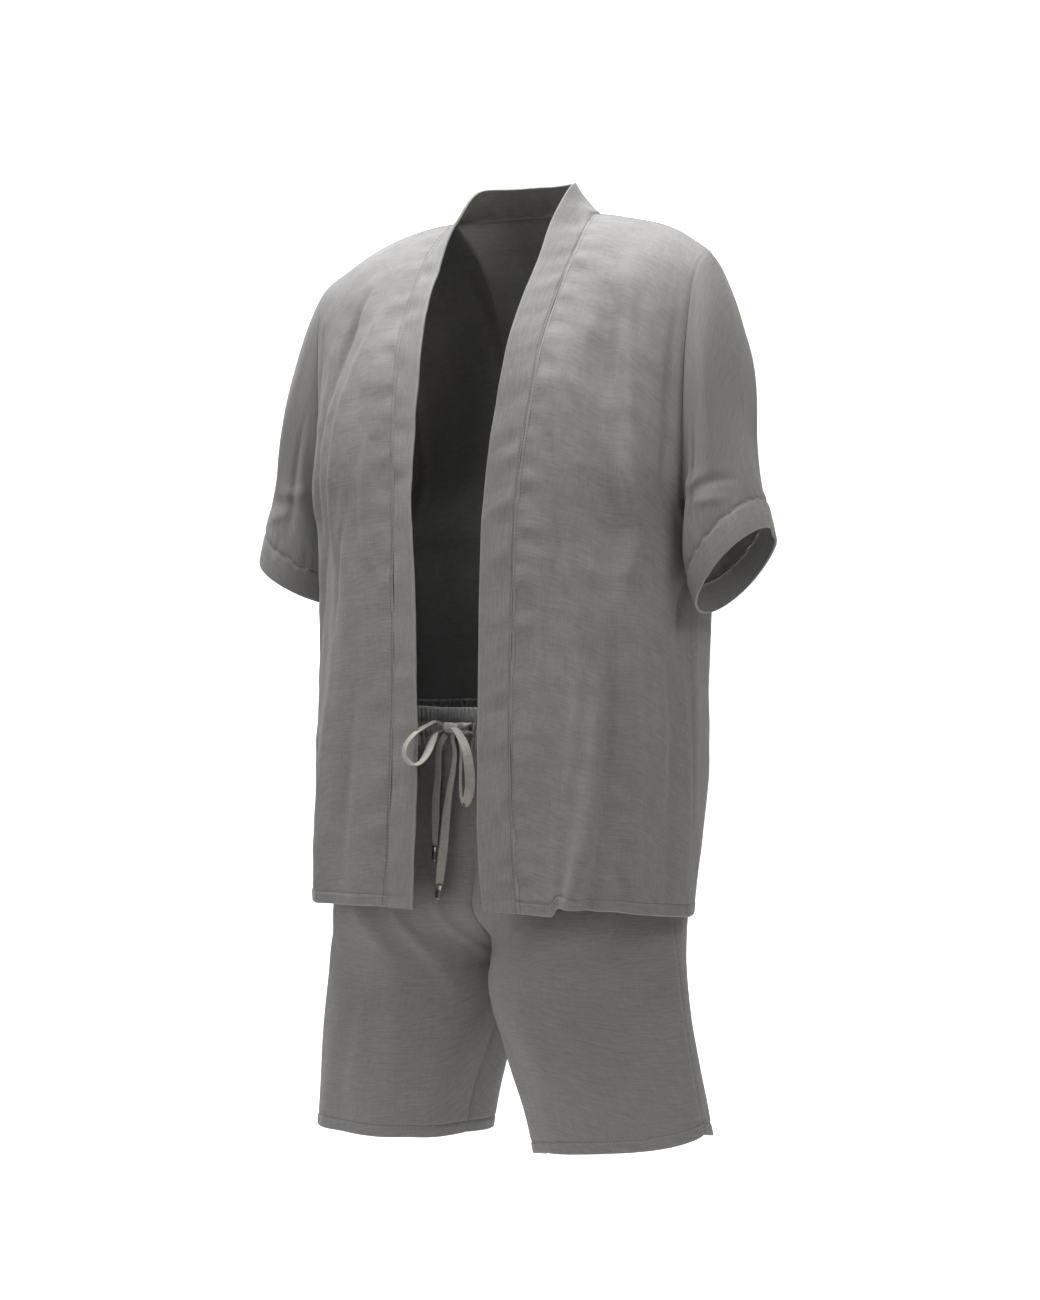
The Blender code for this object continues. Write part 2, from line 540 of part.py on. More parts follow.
def sleeve_grids(loop, side, shape):
    """A sleeve from its armhole loop to the cuff seam, and the cuff below it."""
    steps = np.linalg.norm(np.roll(loop, -1, axis=0) - loop, axis=1)
    reached = np.concatenate([[0], np.cumsum(steps)[:-1]])
    turns = 2 * math.pi * reached / steps.sum()
    lean = math.radians(shape.lean)
    down = np.array([side * math.sin(lean), 0, -math.cos(lean)])
    rim = ring(shape, side, turns)
    seam = rim - CUFF_DEPTH * down
    length = np.linalg.norm(seam - loop, axis=1)[:, None]
    start = np.stack([np.full(len(turns), side * 0.60), -0.30 * np.sin(turns), np.full(len(turns), -0.90)], 1)
    start /= np.linalg.norm(start, axis=1, keepdims=True)
    first = loop + start * length * 0.28
    second = seam - down * length * 0.34
    sleeve = bezier(loop, first, second, seam, np.linspace(0, 1, SLEEVE_CELLS + 1)).transpose(1, 0, 2)
    cuff = bezier(seam, seam + down * CUFF_DEPTH / 3, rim - down * CUFF_DEPTH / 3, rim, np.linspace(0, 1, CUFF_CELLS + 1))
    return sleeve, cuff.transpose(1, 0, 2)


def shorts_grids():
    """The shorts' outer surface: a front and a back for each leg, from the waistband to the leg hem."""
    places = leg_places()
    v = np.linspace(0, 1, len(places))
    u = np.linspace(0, 1, LEG_CELLS + 1)
    grids = {}
    for name, levels, side in (("left", LEFT_HALF, 1), ("right", RIGHT_HALF, -1)):
        row = cornered_rows(levels, places, CROTCH_LEVEL)
        names = {field: row[:, k] for k, field in enumerate(Half._fields)}
        outer = np.stack([side * names["side_x"], names["side_y"], names["side_z"]], 1)
        for part, way, folds in (("front", -1, SHORTS_FRONT_FOLDS), ("back", 1, SHORTS_BACK_FOLDS)):
            inner = np.stack([side * names[part + "_x"], names[part + "_y"], names["inner_z"]], 1)
            chord = outer - inner
            length = np.linalg.norm(chord, axis=1)
            near = names["near"] * length
            far = names["far"] * length
            leave = np.radians(names["leave"])
            first = inner + np.stack(
                [side * np.cos(leave) * near, way * np.sin(leave) * near, chord[:, 2] * names["near"]], 1
            )
            second = outer + np.stack([0 * far, way * far, -chord[:, 2] * names["far"]], 1)
            base = bezier(inner, first, second, outer, u)
            normal = point_normals([base], [side * way])[0]
            calm = np.clip(np.sin(math.pi * u), 0, 1) ** 0.6 * np.clip(v * 6, 0, 1)[:, None]
            grids["shorts_%s_%s" % (part, name)] = base + normal * (fold_offsets(base, u, v, folds) * calm)[..., None]
    return grids


def waistband_outline(count):
    """The waistband's plain outline at its foot, through the tops of the four panels."""
    row = LEFT_HALF[0]
    turn = np.linspace(0, 2 * math.pi, count, endpoint=False)
    power = 2 / 2.25
    x = row.side_x * np.sign(np.sin(turn)) * np.abs(np.sin(turn)) ** power
    middle = (row.front_y + row.back_y) / 2
    depth = (row.back_y - row.front_y) / 2
    y = middle - depth * np.sign(np.cos(turn)) * np.abs(np.cos(turn)) ** power
    return x, y


def build_waistband(mat):
    """The elastic waistband: a plain inside, with gathers and stitched tunnels raised in its outer points."""
    count = 2 * GATHERS
    x, y = waistband_outline(count)
    out = np.stack([np.roll(y, -1) - np.roll(y, 1), np.roll(x, 1) - np.roll(x, -1)], 1)
    out /= np.linalg.norm(out, axis=1, keepdims=True)
    centre = np.array([0.0, (LEFT_HALF[0].front_y + LEFT_HALF[0].back_y) / 2])
    facing = np.sign((out * (np.stack([x, y], 1) - centre)).sum(1))
    out *= facing[:, None]
    ridge = np.where(np.arange(count) % 2 == 0, 1.0, -1.0)
    rows = []
    for k in range(2 * TUNNELS + 1):
        height = k / (2 * TUNNELS)
        z = WAIST_TOP + (WAIST_BOTTOM + SEAM_GAP - WAIST_TOP) * height
        on_tunnel = k % 2
        swell = TUNNEL_RISE * on_tunnel + GATHER_DEPTH * ridge * (0.45 + 0.55 * on_tunnel)
        tuck = 0.0015 * (1 - height)
        rows.append(np.stack([x + out[:, 0] * (swell - tuck), y + out[:, 1] * (swell - tuck), np.full(count, z)], 1))
    outer = np.array(rows)
    inner = []
    for row, z in ((0, WAIST_TOP), (2 * TUNNELS, WAIST_BOTTOM + SEAM_GAP)):
        tuck = 0.0015 * (1 - row / (2 * TUNNELS))
        inset = WAIST_WALL + tuck
        inner.append(np.stack([x - out[:, 0] * inset, y - out[:, 1] * inset, np.full(count, z)], 1))
    inner = np.array(inner)
    rings = list(outer) + [inner[1], inner[0]]
    points = np.concatenate(rings)
    faces = []
    total = len(rings)
    for r in range(total):
        for c in range(count):
            a = r * count + c
            b = r * count + (c + 1) % count
            d = ((r + 1) % total) * count + (c + 1) % count
            e = ((r + 1) % total) * count + c
            faces.append((a, b, d, e))
    return closed_object("waistband", points, faces, mat)


def smooth_route(points, spacing):
    """Points at an even spacing along a smooth curve through a route's own points."""
    fine = smooth_rows(points, np.linspace(0, len(points) - 1, 40 * len(points)))
    reached = np.concatenate([[0], np.cumsum(np.linalg.norm(np.diff(fine, axis=0), axis=1))])
    count = max(3, int(round(reached[-1] / spacing)) + 1)
    at = np.linspace(0, reached[-1], count)
    return np.stack([np.interp(at, reached, fine[:, k]) for k in range(3)], 1)


def cord_tube(name, points, mat):
    """A strand of the drawstring as a round tube along its route."""
    curve = bpy.data.curves.new(name, "CURVE")
    curve.dimensions = "3D"
    curve.bevel_depth = CORD_DIAMETER / 2
    curve.bevel_resolution = 2
    curve.use_fill_caps = True
    route = smooth_route(points, CORD_STEP * CORD_DIAMETER)
    spline = curve.splines.new("POLY")
    spline.points.add(len(route) - 1)
    for point, place in zip(spline.points, route):
        point.co = (*place, 1.0)
    curve.materials.append(mat)
    obj = bpy.data.objects.new(name, curve)
    bpy.context.collection.objects.link(obj)
    return obj


def closed_object(name, points, faces, mat):
    """An object from a closed shape's points and faces, with its faces turned outwards."""
    mesh = bpy.data.meshes.new(name)
    mesh.from_pydata(points.tolist(), [], faces)
    mesh.materials.append(mat)
    obj = bpy.data.objects.new(name, mesh)
    bpy.context.collection.objects.link(obj)
    face_outwards(obj)
    return obj


def metal_tip(name, start, way, mat):
    """The round metal tip that goes on from a strand's end."""
    side = np.cross(way, [0, 1, 0])
    side /= np.linalg.norm(side)
    front = np.cross(way, side)
    turn = np.linspace(0, 2 * math.pi, TIP_SIDES, endpoint=False)
    circle = TIP_RADIUS * (np.cos(turn)[:, None] * side + np.sin(turn)[:, None] * front)
    points = np.concatenate([start + circle, start + way * TIP_LENGTH + circle])
    faces = [tuple(range(TIP_SIDES))[::-1], tuple(range(TIP_SIDES, 2 * TIP_SIDES))]
    for k in range(TIP_SIDES):
        n = (k + 1) % TIP_SIDES
        faces.append((k, n, TIP_SIDES + n, TIP_SIDES + k))
    return closed_object(name, points, faces, mat)


def knot_block(mat):
    """The bow's knot: a small block with rounded corners that the strands come out of."""
    turn = np.linspace(0, 2 * math.pi, KNOT_SIDES, endpoint=False)
    rings = []
    for share, size in ((-1.0, 0.88), (-0.75, 1.0), (0.75, 1.0), (1.0, 0.88)):
        y = KNOT[1] + size * KNOT_HALF[1] * np.sign(np.cos(turn)) * np.abs(np.cos(turn)) ** 0.6
        z = KNOT[2] + size * KNOT_HALF[2] * np.sign(np.sin(turn)) * np.abs(np.sin(turn)) ** 0.6
        rings.append(np.stack([np.full(KNOT_SIDES, KNOT[0] + share * KNOT_HALF[0]), y, z], 1))
    faces = [tuple(range(KNOT_SIDES)), tuple(range(4 * KNOT_SIDES - 1, 3 * KNOT_SIDES - 1, -1))]
    for r in range(3):
        for k in range(KNOT_SIDES):
            n = (k + 1) % KNOT_SIDES
            here, there = r * KNOT_SIDES, (r + 1) * KNOT_SIDES
            faces.append((here + k, there + k, there + n, here + n))
    return closed_object("drawstring_knot", np.concatenate(rings), faces, mat)


def build_drawstring(cord, metal):
    """The tied drawstring: its knot, two loops, two free ends with metal tips and two short runs to the waistband."""
    knot_block(cord)
    cord_tube("drawstring_loop_right", LOOP_RIGHT, cord)
    cord_tube("drawstring_loop_left", LOOP_LEFT, cord)
    cord_tube("drawstring_exit_upper", EXIT_UPPER, cord)
    cord_tube("drawstring_exit_lower", EXIT_LOWER, cord)
    for name, route in (("right", END_RIGHT), ("left", END_LEFT)):
        cord_tube("drawstring_end_" + name, route, cord)
        end = np.array(route[-1])
        way = end - np.array(route[-2])
        way /= np.linalg.norm(way)
        metal_tip("drawstring_tip_" + name, end + way * 0.0003, way, metal)


def build_cloth(grids, walls, mat):
    """Turns each outer grid into a wall, with normals shared across the seams."""
    names = list(grids)
    whole = []
    for name in names:
        grid = grids[name]
        round_piece = name.startswith(("sleeve", "cuff"))
        whole.append(np.concatenate([grid, grid[:, :1]], axis=1) if round_piece else grid)
    normals = point_normals(whole, [outward(name) for name in names])
    for name, normal in zip(names, normals):
        grid = grids[name]
        closed = name.startswith(("sleeve", "cuff"))
        normal = normal[:, : grid.shape[1]]
        outer = drawn_back(grid, closed, SEAM_GAP if name == "neck_band" else SEAM_GAP / 2)
        obj = wall_mesh(name, outer, outer - normal * walls.get(name, CLOTH), closed, mat)
        face_outwards(obj)


def main():
    clear_scene()
    cloth = material("grey_linen", GREY_CLOTH, 0.85)
    cord = material("drawstring_cord", CORD_CLOTH, 0.80)
    metal = material("tip_metal", TIP_METAL, 0.35, 1.0)
    jacket = jacket_grids()
    build_cloth(jacket, {"neck_band": BAND_WALL, "cuff_left": BAND_WALL, "cuff_right": BAND_WALL}, cloth)
    build_cloth(shorts_grids(), {}, cloth)
    build_waistband(cloth)
    build_drawstring(cord, metal)


main()
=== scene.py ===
"""Looks of the kimono set: an open half-sleeved linen jacket over drawstring shorts, in the shape of a wearer.

Units are metres, +Z is up, the front faces -Y and the wearer's left side is +X. Every cloth piece is a thin closed
wall on a grid of rows and columns. The grid comes from the same tables as the solids, read more finely, and carries
the folds, hems and puckers of the real cloth.
"""

import math
from collections import namedtuple

import bpy
import numpy as np
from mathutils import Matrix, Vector


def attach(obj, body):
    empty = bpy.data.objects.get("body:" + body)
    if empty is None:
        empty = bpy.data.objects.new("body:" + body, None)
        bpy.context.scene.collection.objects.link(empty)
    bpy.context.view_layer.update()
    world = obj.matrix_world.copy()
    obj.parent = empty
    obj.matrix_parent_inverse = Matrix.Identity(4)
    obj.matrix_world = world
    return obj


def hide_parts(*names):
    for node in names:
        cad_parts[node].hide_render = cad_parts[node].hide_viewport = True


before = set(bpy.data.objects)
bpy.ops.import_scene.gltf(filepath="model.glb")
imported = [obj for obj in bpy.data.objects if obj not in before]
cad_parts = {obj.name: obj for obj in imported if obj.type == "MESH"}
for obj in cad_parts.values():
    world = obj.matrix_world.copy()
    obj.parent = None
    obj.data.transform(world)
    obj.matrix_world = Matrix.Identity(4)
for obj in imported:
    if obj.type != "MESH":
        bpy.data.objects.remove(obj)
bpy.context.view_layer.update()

CLOTH = 0.0014  # wall of one layer of cloth
BAND_WALL = 0.0026  # wall of the folded neck band and the cuffs
WAIST_WALL = 0.0030
CUFF_DEPTH = 0.031
CUFF_JOIN = 0.85  # where round the cuff its ends are joined, in radians from its outer end towards the front
CUFF_DENT = 0.004  # how far the left cuff's rim is pressed in behind its outer end
CUFF_DENT_TURN = 5.75
SHOULDER_RISE = 0.012  # how far the shoulder seam arches over its straight line
WAIST_TOP = -0.490
WAIST_BOTTOM = -0.534
GATHERS = 172  # gathers of cloth round the elastic waistband
GATHER_DEPTH = 0.0013
TUNNELS = 3  # stitched tunnels, one above the other, in the waistband
TUNNEL_RISE = 0.0011
NECK_SHARE = 0.30  # share of half the back's width that is under the neckline
UNDERARM_LEVEL = 7
CROTCH_LEVEL = 4
RISE_FORWARD = 0.009  # how far the front rise stands out over its solid just above the crotch
RISE_ASIDE = 0.005  # and how far it leans to the wearer's right there
NECK_FLARE = 0.0040  # how far the band hollows between its two edges at the sides of the neck
HEM_TAPER = 21  # degrees by which the left back turns in behind the side seam at the hem
SHOULDER_LIFT = {1: 0.010, -1: 0.002}  # how much squarer each shoulder sits than its solid, left then right
CREASE_DEPTH = 1.9  # how deep all narrow creases are, against their tables
HEM_STEP = 0.012  # how far the left front's hem steps up beside its cone fold
HEM_STEP_PLACE = 0.165  # where across the front it does
HEM_DEPTH = 0.0125  # from a hem's edge to its stitching
FRONT_STITCHING = 0.0032  # from the band's seam to the stitching on the front beside it
BAND_STITCHING = 0.0022
CUFF_STITCHING = 0.0024
PUCKER_START = 0.006  # how far from a seam its puckers have reached their height
HEM_LAYER = 0.0005  # how far the turned layer of a hem raises it
HEM_WALL = 0.0011  # and how much it adds to the wall
TAPE_WIDTH = 0.0094  # the flat woven drawstring
TAPE_THICKNESS = 0.0016
TAPE_GIRTH = 0.022
TAPE_SIDES = 20

CAMERA_TURN = math.radians(33)
CAMERA_RIGHT = np.array([math.cos(CAMERA_TURN), math.sin(CAMERA_TURN), 0])
CAMERA_SIDE = np.array([math.sin(CAMERA_TURN), -math.cos(CAMERA_TURN), 0])  # from the object towards the camera
CAMERA_DISTANCE = 3.16
CAMERA_HEIGHT = -0.357
AIM_HEIGHT = -0.435
LENS = 85
FRAMING_SHIFT = 0.0031
FLOOR_HEIGHT = -1.45


def table(kind, parts, rows):
    """Named rows from a table of whole numbers: parts says for each column how many of its steps make one."""
    return [kind(*(number / steps for number, steps in zip(row, parts))) for row in rows]


# The tables give lengths in millimetres, headings in degrees and shares in hundredths. Only a fold's rise and a
# strand's place are in tenths of a millimetre.
# A level of one front: its free edge, its band seam, its outer side (armhole or side seam), the headings in degrees
# at which a row leaves the band seam and reaches the outer side, and how far its two handles reach along the chord.
Level = namedtuple(
    "Level", "edge_x edge_y edge_z seam_x seam_y seam_z side_x side_y side_z leave arrive near far"
)
LEVEL_PARTS = [1000] * 9 + [1, 1, 100, 100]
LEFT_FRONT = table(Level, LEVEL_PARTS, [
    (60, 12, 44, 85, 12, 9, 228, 0, -47, 0, 0, 34, 34),
    (62, -30, 2, 91.5, -22, -20, 228, -22, -58, 6, 12, 34, 34),
    (64, -58, -40, 94, -50, -50, 228, -38, -85, 10, 25, 36, 34),
    (63, -88, -84, 95, -78, -88, 227, -47, -130, 10, 40, 38, 34),
    (61, -110, -127, 95.5, -103, -130, 226, -50, -180, 8, 52, 42, 34),
    (58, -122, -173, 95.5, -118, -175, 226, -50, -230, 4, 62, 48, 34),
    (53, -131, -230, 90.5, -129, -232, 224, -43, -280, 0, 75, 52, 38),
    (48, -136, -295, 86, -134, -295, 219, -12, -330, -3, 90, 54, 42),
    (46, -138, -370, 83.5, -135, -370, 214, -13, -380, -3, 90, 56, 44),
    (45, -139, -460, 82, -136, -460, 216, -15, -460, -3, 90, 56, 44),
    (44, -139, -545, 81.5, -136, -545, 219, -16, -545, -3, 90, 56, 44),
    (43, -137, -625, 83.5, -134, -625, 219, -17, -625, -2, 90, 56, 44),
    (47, -134, -690, 87, -131, -690, 217, -18, -696, -2, 90, 56, 44),
])
RIGHT_FRONT = table(Level, LEVEL_PARTS, [
    (60, 12, 44, 85, 12, 9, 228, 0, -47, 0, 0, 34, 34),
    (61, -26, 2, 88, -22, -20, 227, -22, -58, 6, 12, 34, 34),
    (56, -55, -38, 86, -50, -50, 224, -38, -85, 10, 25, 36, 34),
    (48, -90, -82, 81.5, -78, -88, 221, -45, -130, 10, 40, 38, 32),
    (40, -114, -127, 75, -103, -130, 219, -46, -180, 8, 54, 42, 32),
    (34, -129, -173, 69, -118, -175, 218, -46, -230, 4, 64, 46, 32),
    (31, -141, -230, 64, -129, -232, 216, -40, -280, 0, 76, 48, 34),
    (28, -150, -295, 60, -134, -295, 211, -12, -330, -4, 90, 50, 36),
    (23, -151, -370, 58, -136, -370, 206, -13, -380, -4, 90, 52, 38),
    (21, -151, -460, 57, -138, -460, 208, -15, -460, -4, 90, 52, 40),
    (21, -149, -545, 59, -138, -545, 211, -16, -545, -4, 90, 52, 40),
    (26, -147, -625, 64, -137, -625, 215, -17, -625, -3, 90, 52, 40),
    (31, -143, -692, 70, -135, -692, 217, -18, -698, -3, 90, 52, 42),
])

# A level of the back: its centre line, how far its two handles reach along the chord, and the armhole's depth.
Spine = namedtuple("Spine", "y z near far armhole_y")
SPINE_PARTS = [1000, 1000, 100, 100, 1000]
BACK = table(Spine, SPINE_PARTS, [
    (80, 18, 34, 30, 0), (92, -12, 36, 30, 22),
    (101, -52, 38, 30, 38), (107, -98, 42, 32, 46),
    (111, -146, 46, 34, 48), (113, -195, 50, 36, 47),
    (114, -250, 52, 38, 36), (114, -312, 54, 42, -12),
    (113, -376, 56, 44, -13), (119, -460, 56, 44, -15),
    (122, -546, 56, 44, -16), (106, -628, 56, 44, -17),
    (93, -702, 56, 42, -18),
])

# A sleeve: the centre of its rim, the rim's half sizes, its tilt from level and how far the sleeve leans outwards.
Sleeve = namedtuple("Sleeve", "x y z across along tilt lean")
LEFT_SLEEVE = Sleeve(0.268, -0.016, -0.354, 0.055, 0.052, 50, 20)
RIGHT_SLEEVE = Sleeve(0.262, -0.016, -0.364, 0.050, 0.053, 31, 16)

# A level of one half of the shorts: the front and back middle lines (the rise, then the inseam), the side seam, and
# the handles of the front row and of the back row.
Half = namedtuple("Half", "front_x front_y back_x back_y inner_z side_x side_y side_z leave near far")
HALF_PARTS = [1000] * 8 + [1, 100, 100]
LEFT_HALF = table(Half, HALF_PARTS, [
    (0, -104, 0, 98, -534, 156, -6, -534, 0, 44, 38),
    (6, -98, 0, 100, -585, 176, -10, -585, 0, 50, 40),
    (8, -90, 0, 94, -640, 187, -14, -640, 4, 54, 42),
    (8, -74, 1, 66, -700, 196, -16, -695, 26, 56, 42),
    (2, -4, 2, -4, -752, 203, -16, -748, 84, 58, 44),
    (6, -5, 6, -5, -800, 209, -15, -798, 88, 60, 46),
    (18, -8, 18, -8, -850, 216, -13, -840, 90, 60, 48),
    (31, -10, 31, -10, -900, 223, -12, -876, 90, 58, 48),
    (43, -12, 43, -12, -950, 230, -11, -912, 90, 56, 48),
])
RIGHT_HALF = table(Half, HALF_PARTS, [
    (0, -104, 0, 98, -534, 156, -6, -534, 0, 44, 38),
    (-6, -98, 0, 100, -585, 178, -10, -585, 0, 50, 40),
    (-8, -90, 0, 94, -640, 189, -14, -640, 4, 54, 42),
    (-8, -74, -1, 66, -700, 200, -16, -698, 26, 56, 42),
    (-2, -4, -2, -4, -752, 209, -16, -754, 84, 56, 44),
    (12, -8, 12, -8, -800, 216, -15, -802, 88, 56, 46),
    (28, -12, 28, -12, -848, 222, -13, -850, 90, 54, 48),
    (42, -16, 42, -16, -892, 227, -12, -896, 90, 53, 48),
    (50, -18, 50, -18, -936, 231, -11, -940, 90, 52, 48),
])

# How much fuller two of the leg panels hang than their solids, level by level: degrees added to the heading at which
# a row leaves the inner line, and the share of the chord added to its handle.
Fuller = namedtuple("Fuller", "leave near")
FULLER_PANELS = {
    "shorts_front_left": table(Fuller, [1, 100], [
        (0, 0), (0, 0), (0, 0), (2, 0), (16, 22), (11, 16), (5, 7), (2, 2), (0, 0),
    ]),
    "shorts_back_right": table(Fuller, [1, 100], [
        (0, 0), (0, 0), (0, 0), (0, 0), (5, 2), (11, 5), (18, 9), (24, 14), (24, 15),
    ]),
}

# A fold: where it starts and ends across (u) and down (v) its panel, its half width and its rise.
Fold = namedtuple("Fold", "u0 v0 u1 v1 width rise")
FOLD_PARTS = [100] * 4 + [1000, 10000]
LEFT_FRONT_FOLDS = table(Fold, FOLD_PARTS, [
    (30, 10, 42, 50, 30, -90),  # hollow of the chest
    (33, 66, 30, 110, 18, 160),  # cone that opens towards the hem
    (50, 62, 47, 110, 24, -100), (80, 40, 76, 80, 16, 60), (62, 25, 60, 52, 22, 50),
])
RIGHT_FRONT_FOLDS = table(Fold, FOLD_PARTS, [
    (30, 28, 25, 62, 14, 60), (48, 18, 50, 70, 14, -60), (72, 30, 70, 80, 20, 60), (40, 66, 36, 110, 20, 70),
])
BACK_FOLDS = table(Fold, FOLD_PARTS, [
    (-62, 20, -55, 90, 20, -60), (-20, 25, -26, 110, 24, 70), (12, 30, 10, 95, 18, -60), (55, 22, 50, 105, 22, 70),
])
SHORTS_FRONT_FOLDS = table(Fold, FOLD_PARTS, [
    (38, 10, 46, 70, 16, 60), (66, 35, 62, 110, 22, -60), (20, 45, 30, 110, 16, -50),
])
SHORTS_BACK_FOLDS = table(Fold, FOLD_PARTS, [
    (35, 25, 42, 110, 20, -60), (65, 15, 60, 85, 20, 60),
])

# Narrower creases that the solids leave out, on the same measures as the folds above.
LEFT_FRONT_CREASES = table(Fold, FOLD_PARTS, [
    (36, 8, 40, 58, 27, -52),  # hollow of the chest
    (16, 15, 66, 17, 22, 24),  # ledge over it
    (18, 25, 62, 27, 26, -26), (56, 10, 50, 55, 18, 20),
    (38, 62, -8.5, 130, 13, 44),  # lit edge of the cone
    (46, 60, 1, 130, 12, -40), (62, 56, 40, 125, 14, 18), (74, 50, 70, 120, 12, -18), (10, 30, 16, 55, 7, -16),
    (5, 42, 9, 70, 6, 12), (22, 45, 20, 88, 9, 18), (44, 50, 40, 80, 8, -15), (92, 12, 78, 42, 9, -22),
    (97, 20, 86, 46, 7, 18), (70, 55, 66, 98, 10, 16), (98, 44, 84, 60, 8, -18), (15, 75, 12, 105, 9, 14),
    (90, 60, 92, 100, 10, 16),
])
RIGHT_FRONT_CREASES = table(Fold, FOLD_PARTS, [
    (36, 14, 62, 32, 10, -34), (22, 18, 38, 50, 11, 34), (50, 40, 68, 80, 12, -34), (34, 55, 30, 115, 12, 20),
    (12, 30, 10, 52, 7, 14), (20, 36, 36, 60, 7, -18), (60, 20, 56, 46, 8, -20), (86, 14, 70, 44, 8, -20),
    (95, 30, 74, 52, 8, 18), (55, 55, 60, 95, 9, -18), (15, 62, 20, 100, 9, -14), (84, 55, 80, 102, 10, 18),
])
BACK_CREASES = table(Fold, FOLD_PARTS, [
    (-90, 15, -62, 48, 9, -20), (-80, 40, -70, 75, 10, 16), (-42, 8, -30, 34, 10, 15), (-36, 50, -40, 102, 10, -18),
    (-6, 12, -2, 50, 10, -14), (26, 10, 34, 38, 9, 14), (34, 55, 32, 104, 10, -16), (70, 30, 66, 72, 9, -16),
    (88, 18, 64, 46, 9, -20), (92, 50, 90, 100, 10, 16),
])
SHORTS_FRONT_CREASES = table(Fold, FOLD_PARTS, [
    (7, 2, 6, 54, 6, 22),  # lit ridge beside the rise
    (30, 12, 16, 66, 10, 22), (90, 10, 93, 110, 10, 18), (16, 16, 24, 50, 9, -14), (40, 40, 34, 92, 10, 18),
    (50, 50, 54, 102, 10, 18), (80, 40, 84, 100, 10, 14), (5, 56, 22, 84, 8, -14),
])
SHORTS_BACK_CREASES = table(Fold, FOLD_PARTS, [
    (8, 30, 40, 52, 9, -20), (10, 48, 50, 62, 10, 18), (78, 30, 82, 100, 11, -16), (50, 60, 56, 102, 10, 16),
])
# Folds of a sleeve: u runs once round from the shoulder over the front, v from the armhole to the cuff.
SLEEVE_FOLDS = table(Fold, FOLD_PARTS, [
    (10, 5, 16, 80, 12, 30), (22, 10, 26, 95, 10, -30), (34, 30, 18, 78, 8, 22), (30, 55, 6, 92, 6, -22),
    (28, 68, 10, 97, 5, 14), (72, 10, 78, 85, 11, -28), (86, 5, 90, 70, 12, 24), (66, 45, 84, 88, 7, 18),
])

# The drawstring's strands: points of a route, how far the tape is turned there in degrees (0 shows its whole width
# to the front, 90 its edge) and its width as a share of the full one.
Strand = namedtuple("Strand", "x y z turn share")
STRAND_PARTS = [10000] * 3 + [1, 100]
LOOP_RIGHT = table(Strand, STRAND_PARTS, [
    (-172, -1104, -5080, 60, 60), (-205, -1154, -5045, 56, 85), (-225, -1269, -5080, 58, 100),
    (-195, -1430, -5112, 60, 100), (-200, -1555, -5165, 62, 100), (-255, -1592, -5250, 62, 100),
    (-285, -1589, -5325, 62, 100), (-270, -1589, -5395, 60, 100), (-215, -1584, -5440, 56, 100),
    (-155, -1564, -5450, 62, 100), (-110, -1519, -5400, 48, 100), (-115, -1429, -5325, 38, 100),
    (-150, -1319, -5245, 34, 95), (-190, -1214, -5180, 40, 85), (-215, -1134, -5150, 50, 70),
    (-172, -1099, -5140, 55, 60),
])
LOOP_LEFT = table(Strand, STRAND_PARTS, [
    (10, -1161, -5110, 20, 60), (65, -1194, -5125, 20, 70), (165, -1234, -5215, 16, 85),
    (235, -1264, -5315, 12, 95), (265, -1269, -5440, 8, 105), (275, -1259, -5580, 6, 110),
    (260, -1239, -5710, 14, 110), (185, -1194, -5835, 50, 105), (100, -1149, -5820, 72, 100),
    (70, -1129, -5665, 76, 95), (65, -1114, -5485, 74, 90), (58, -1102, -5315, 70, 75),
    (25, -1099, -5172, 60, 60),
])
END_RIGHT = table(Strand, STRAND_PARTS, [
    (-118, -1099, -5176, 30, 60), (-165, -1100, -5230, 40, 75), (-205, -1102, -5330, 48, 90),
    (-212, -1104, -5450, 50, 100), (-220, -1099, -5605, 48, 100), (-250, -1089, -5830, 40, 100),
    (-262, -1079, -6060, 36, 90), (-276, -1074, -6305, 36, 62),
])
END_LEFT = table(Strand, STRAND_PARTS, [
    (-45, -1099, -5170, 40, 60), (-35, -1102, -5240, 58, 75), (-10, -1104, -5320, 64, 90),
    (-10, -1109, -5430, 62, 100), (-35, -1109, -5580, 56, 100), (-80, -1104, -5770, 46, 100),
    (-115, -1099, -5975, 34, 100), (-150, -1089, -6225, 20, 100), (-190, -1079, -6470, 10, 98),
    (-222, -1074, -6690, 8, 84),
])
EXIT_UPPER = table(Strand, STRAND_PARTS, [
    (40, -1130, -5080, 10, 55), (100, -1105, -5074, 10, 60), (128, -1079, -5067, 20, 55),
    (140, -1045, -5065, 30, 45),
])
EXIT_LOWER = table(Strand, STRAND_PARTS, [
    (40, -1115, -5138, 10, 50), (100, -1100, -5143, 10, 55), (136, -1079, -5150, 20, 50),
    (148, -1045, -5152, 30, 40),
])
KNOT = (-0.0052, -0.1099, -0.5110)
KNOT_HALF = (0.0103, 0.0044, 0.0052)
TIP_LENGTH = 0.0145
TIP_RADIUS = 0.0029


def unit(number):
    """A number kept from 0 to 1."""
    return np.clip(number, 0, 1)


def bell(away, width):
    """1 at zero, and smoothly down to nothing some widths away from it."""
    return np.exp(-((away / width) ** 2))


def unit_rows(rows):
    """Vectors in rows, each made one long."""
    return rows / np.linalg.norm(rows, axis=1, keepdims=True)


def along(line):
    """How far along a line each of its points is."""
    return np.concatenate([[0], np.cumsum(np.linalg.norm(np.diff(line, axis=0), axis=1))])


def between(at, reached, rows):
    """Rows read between their places along a line."""
    return np.stack([np.interp(at, reached, column) for column in rows.T], 1)


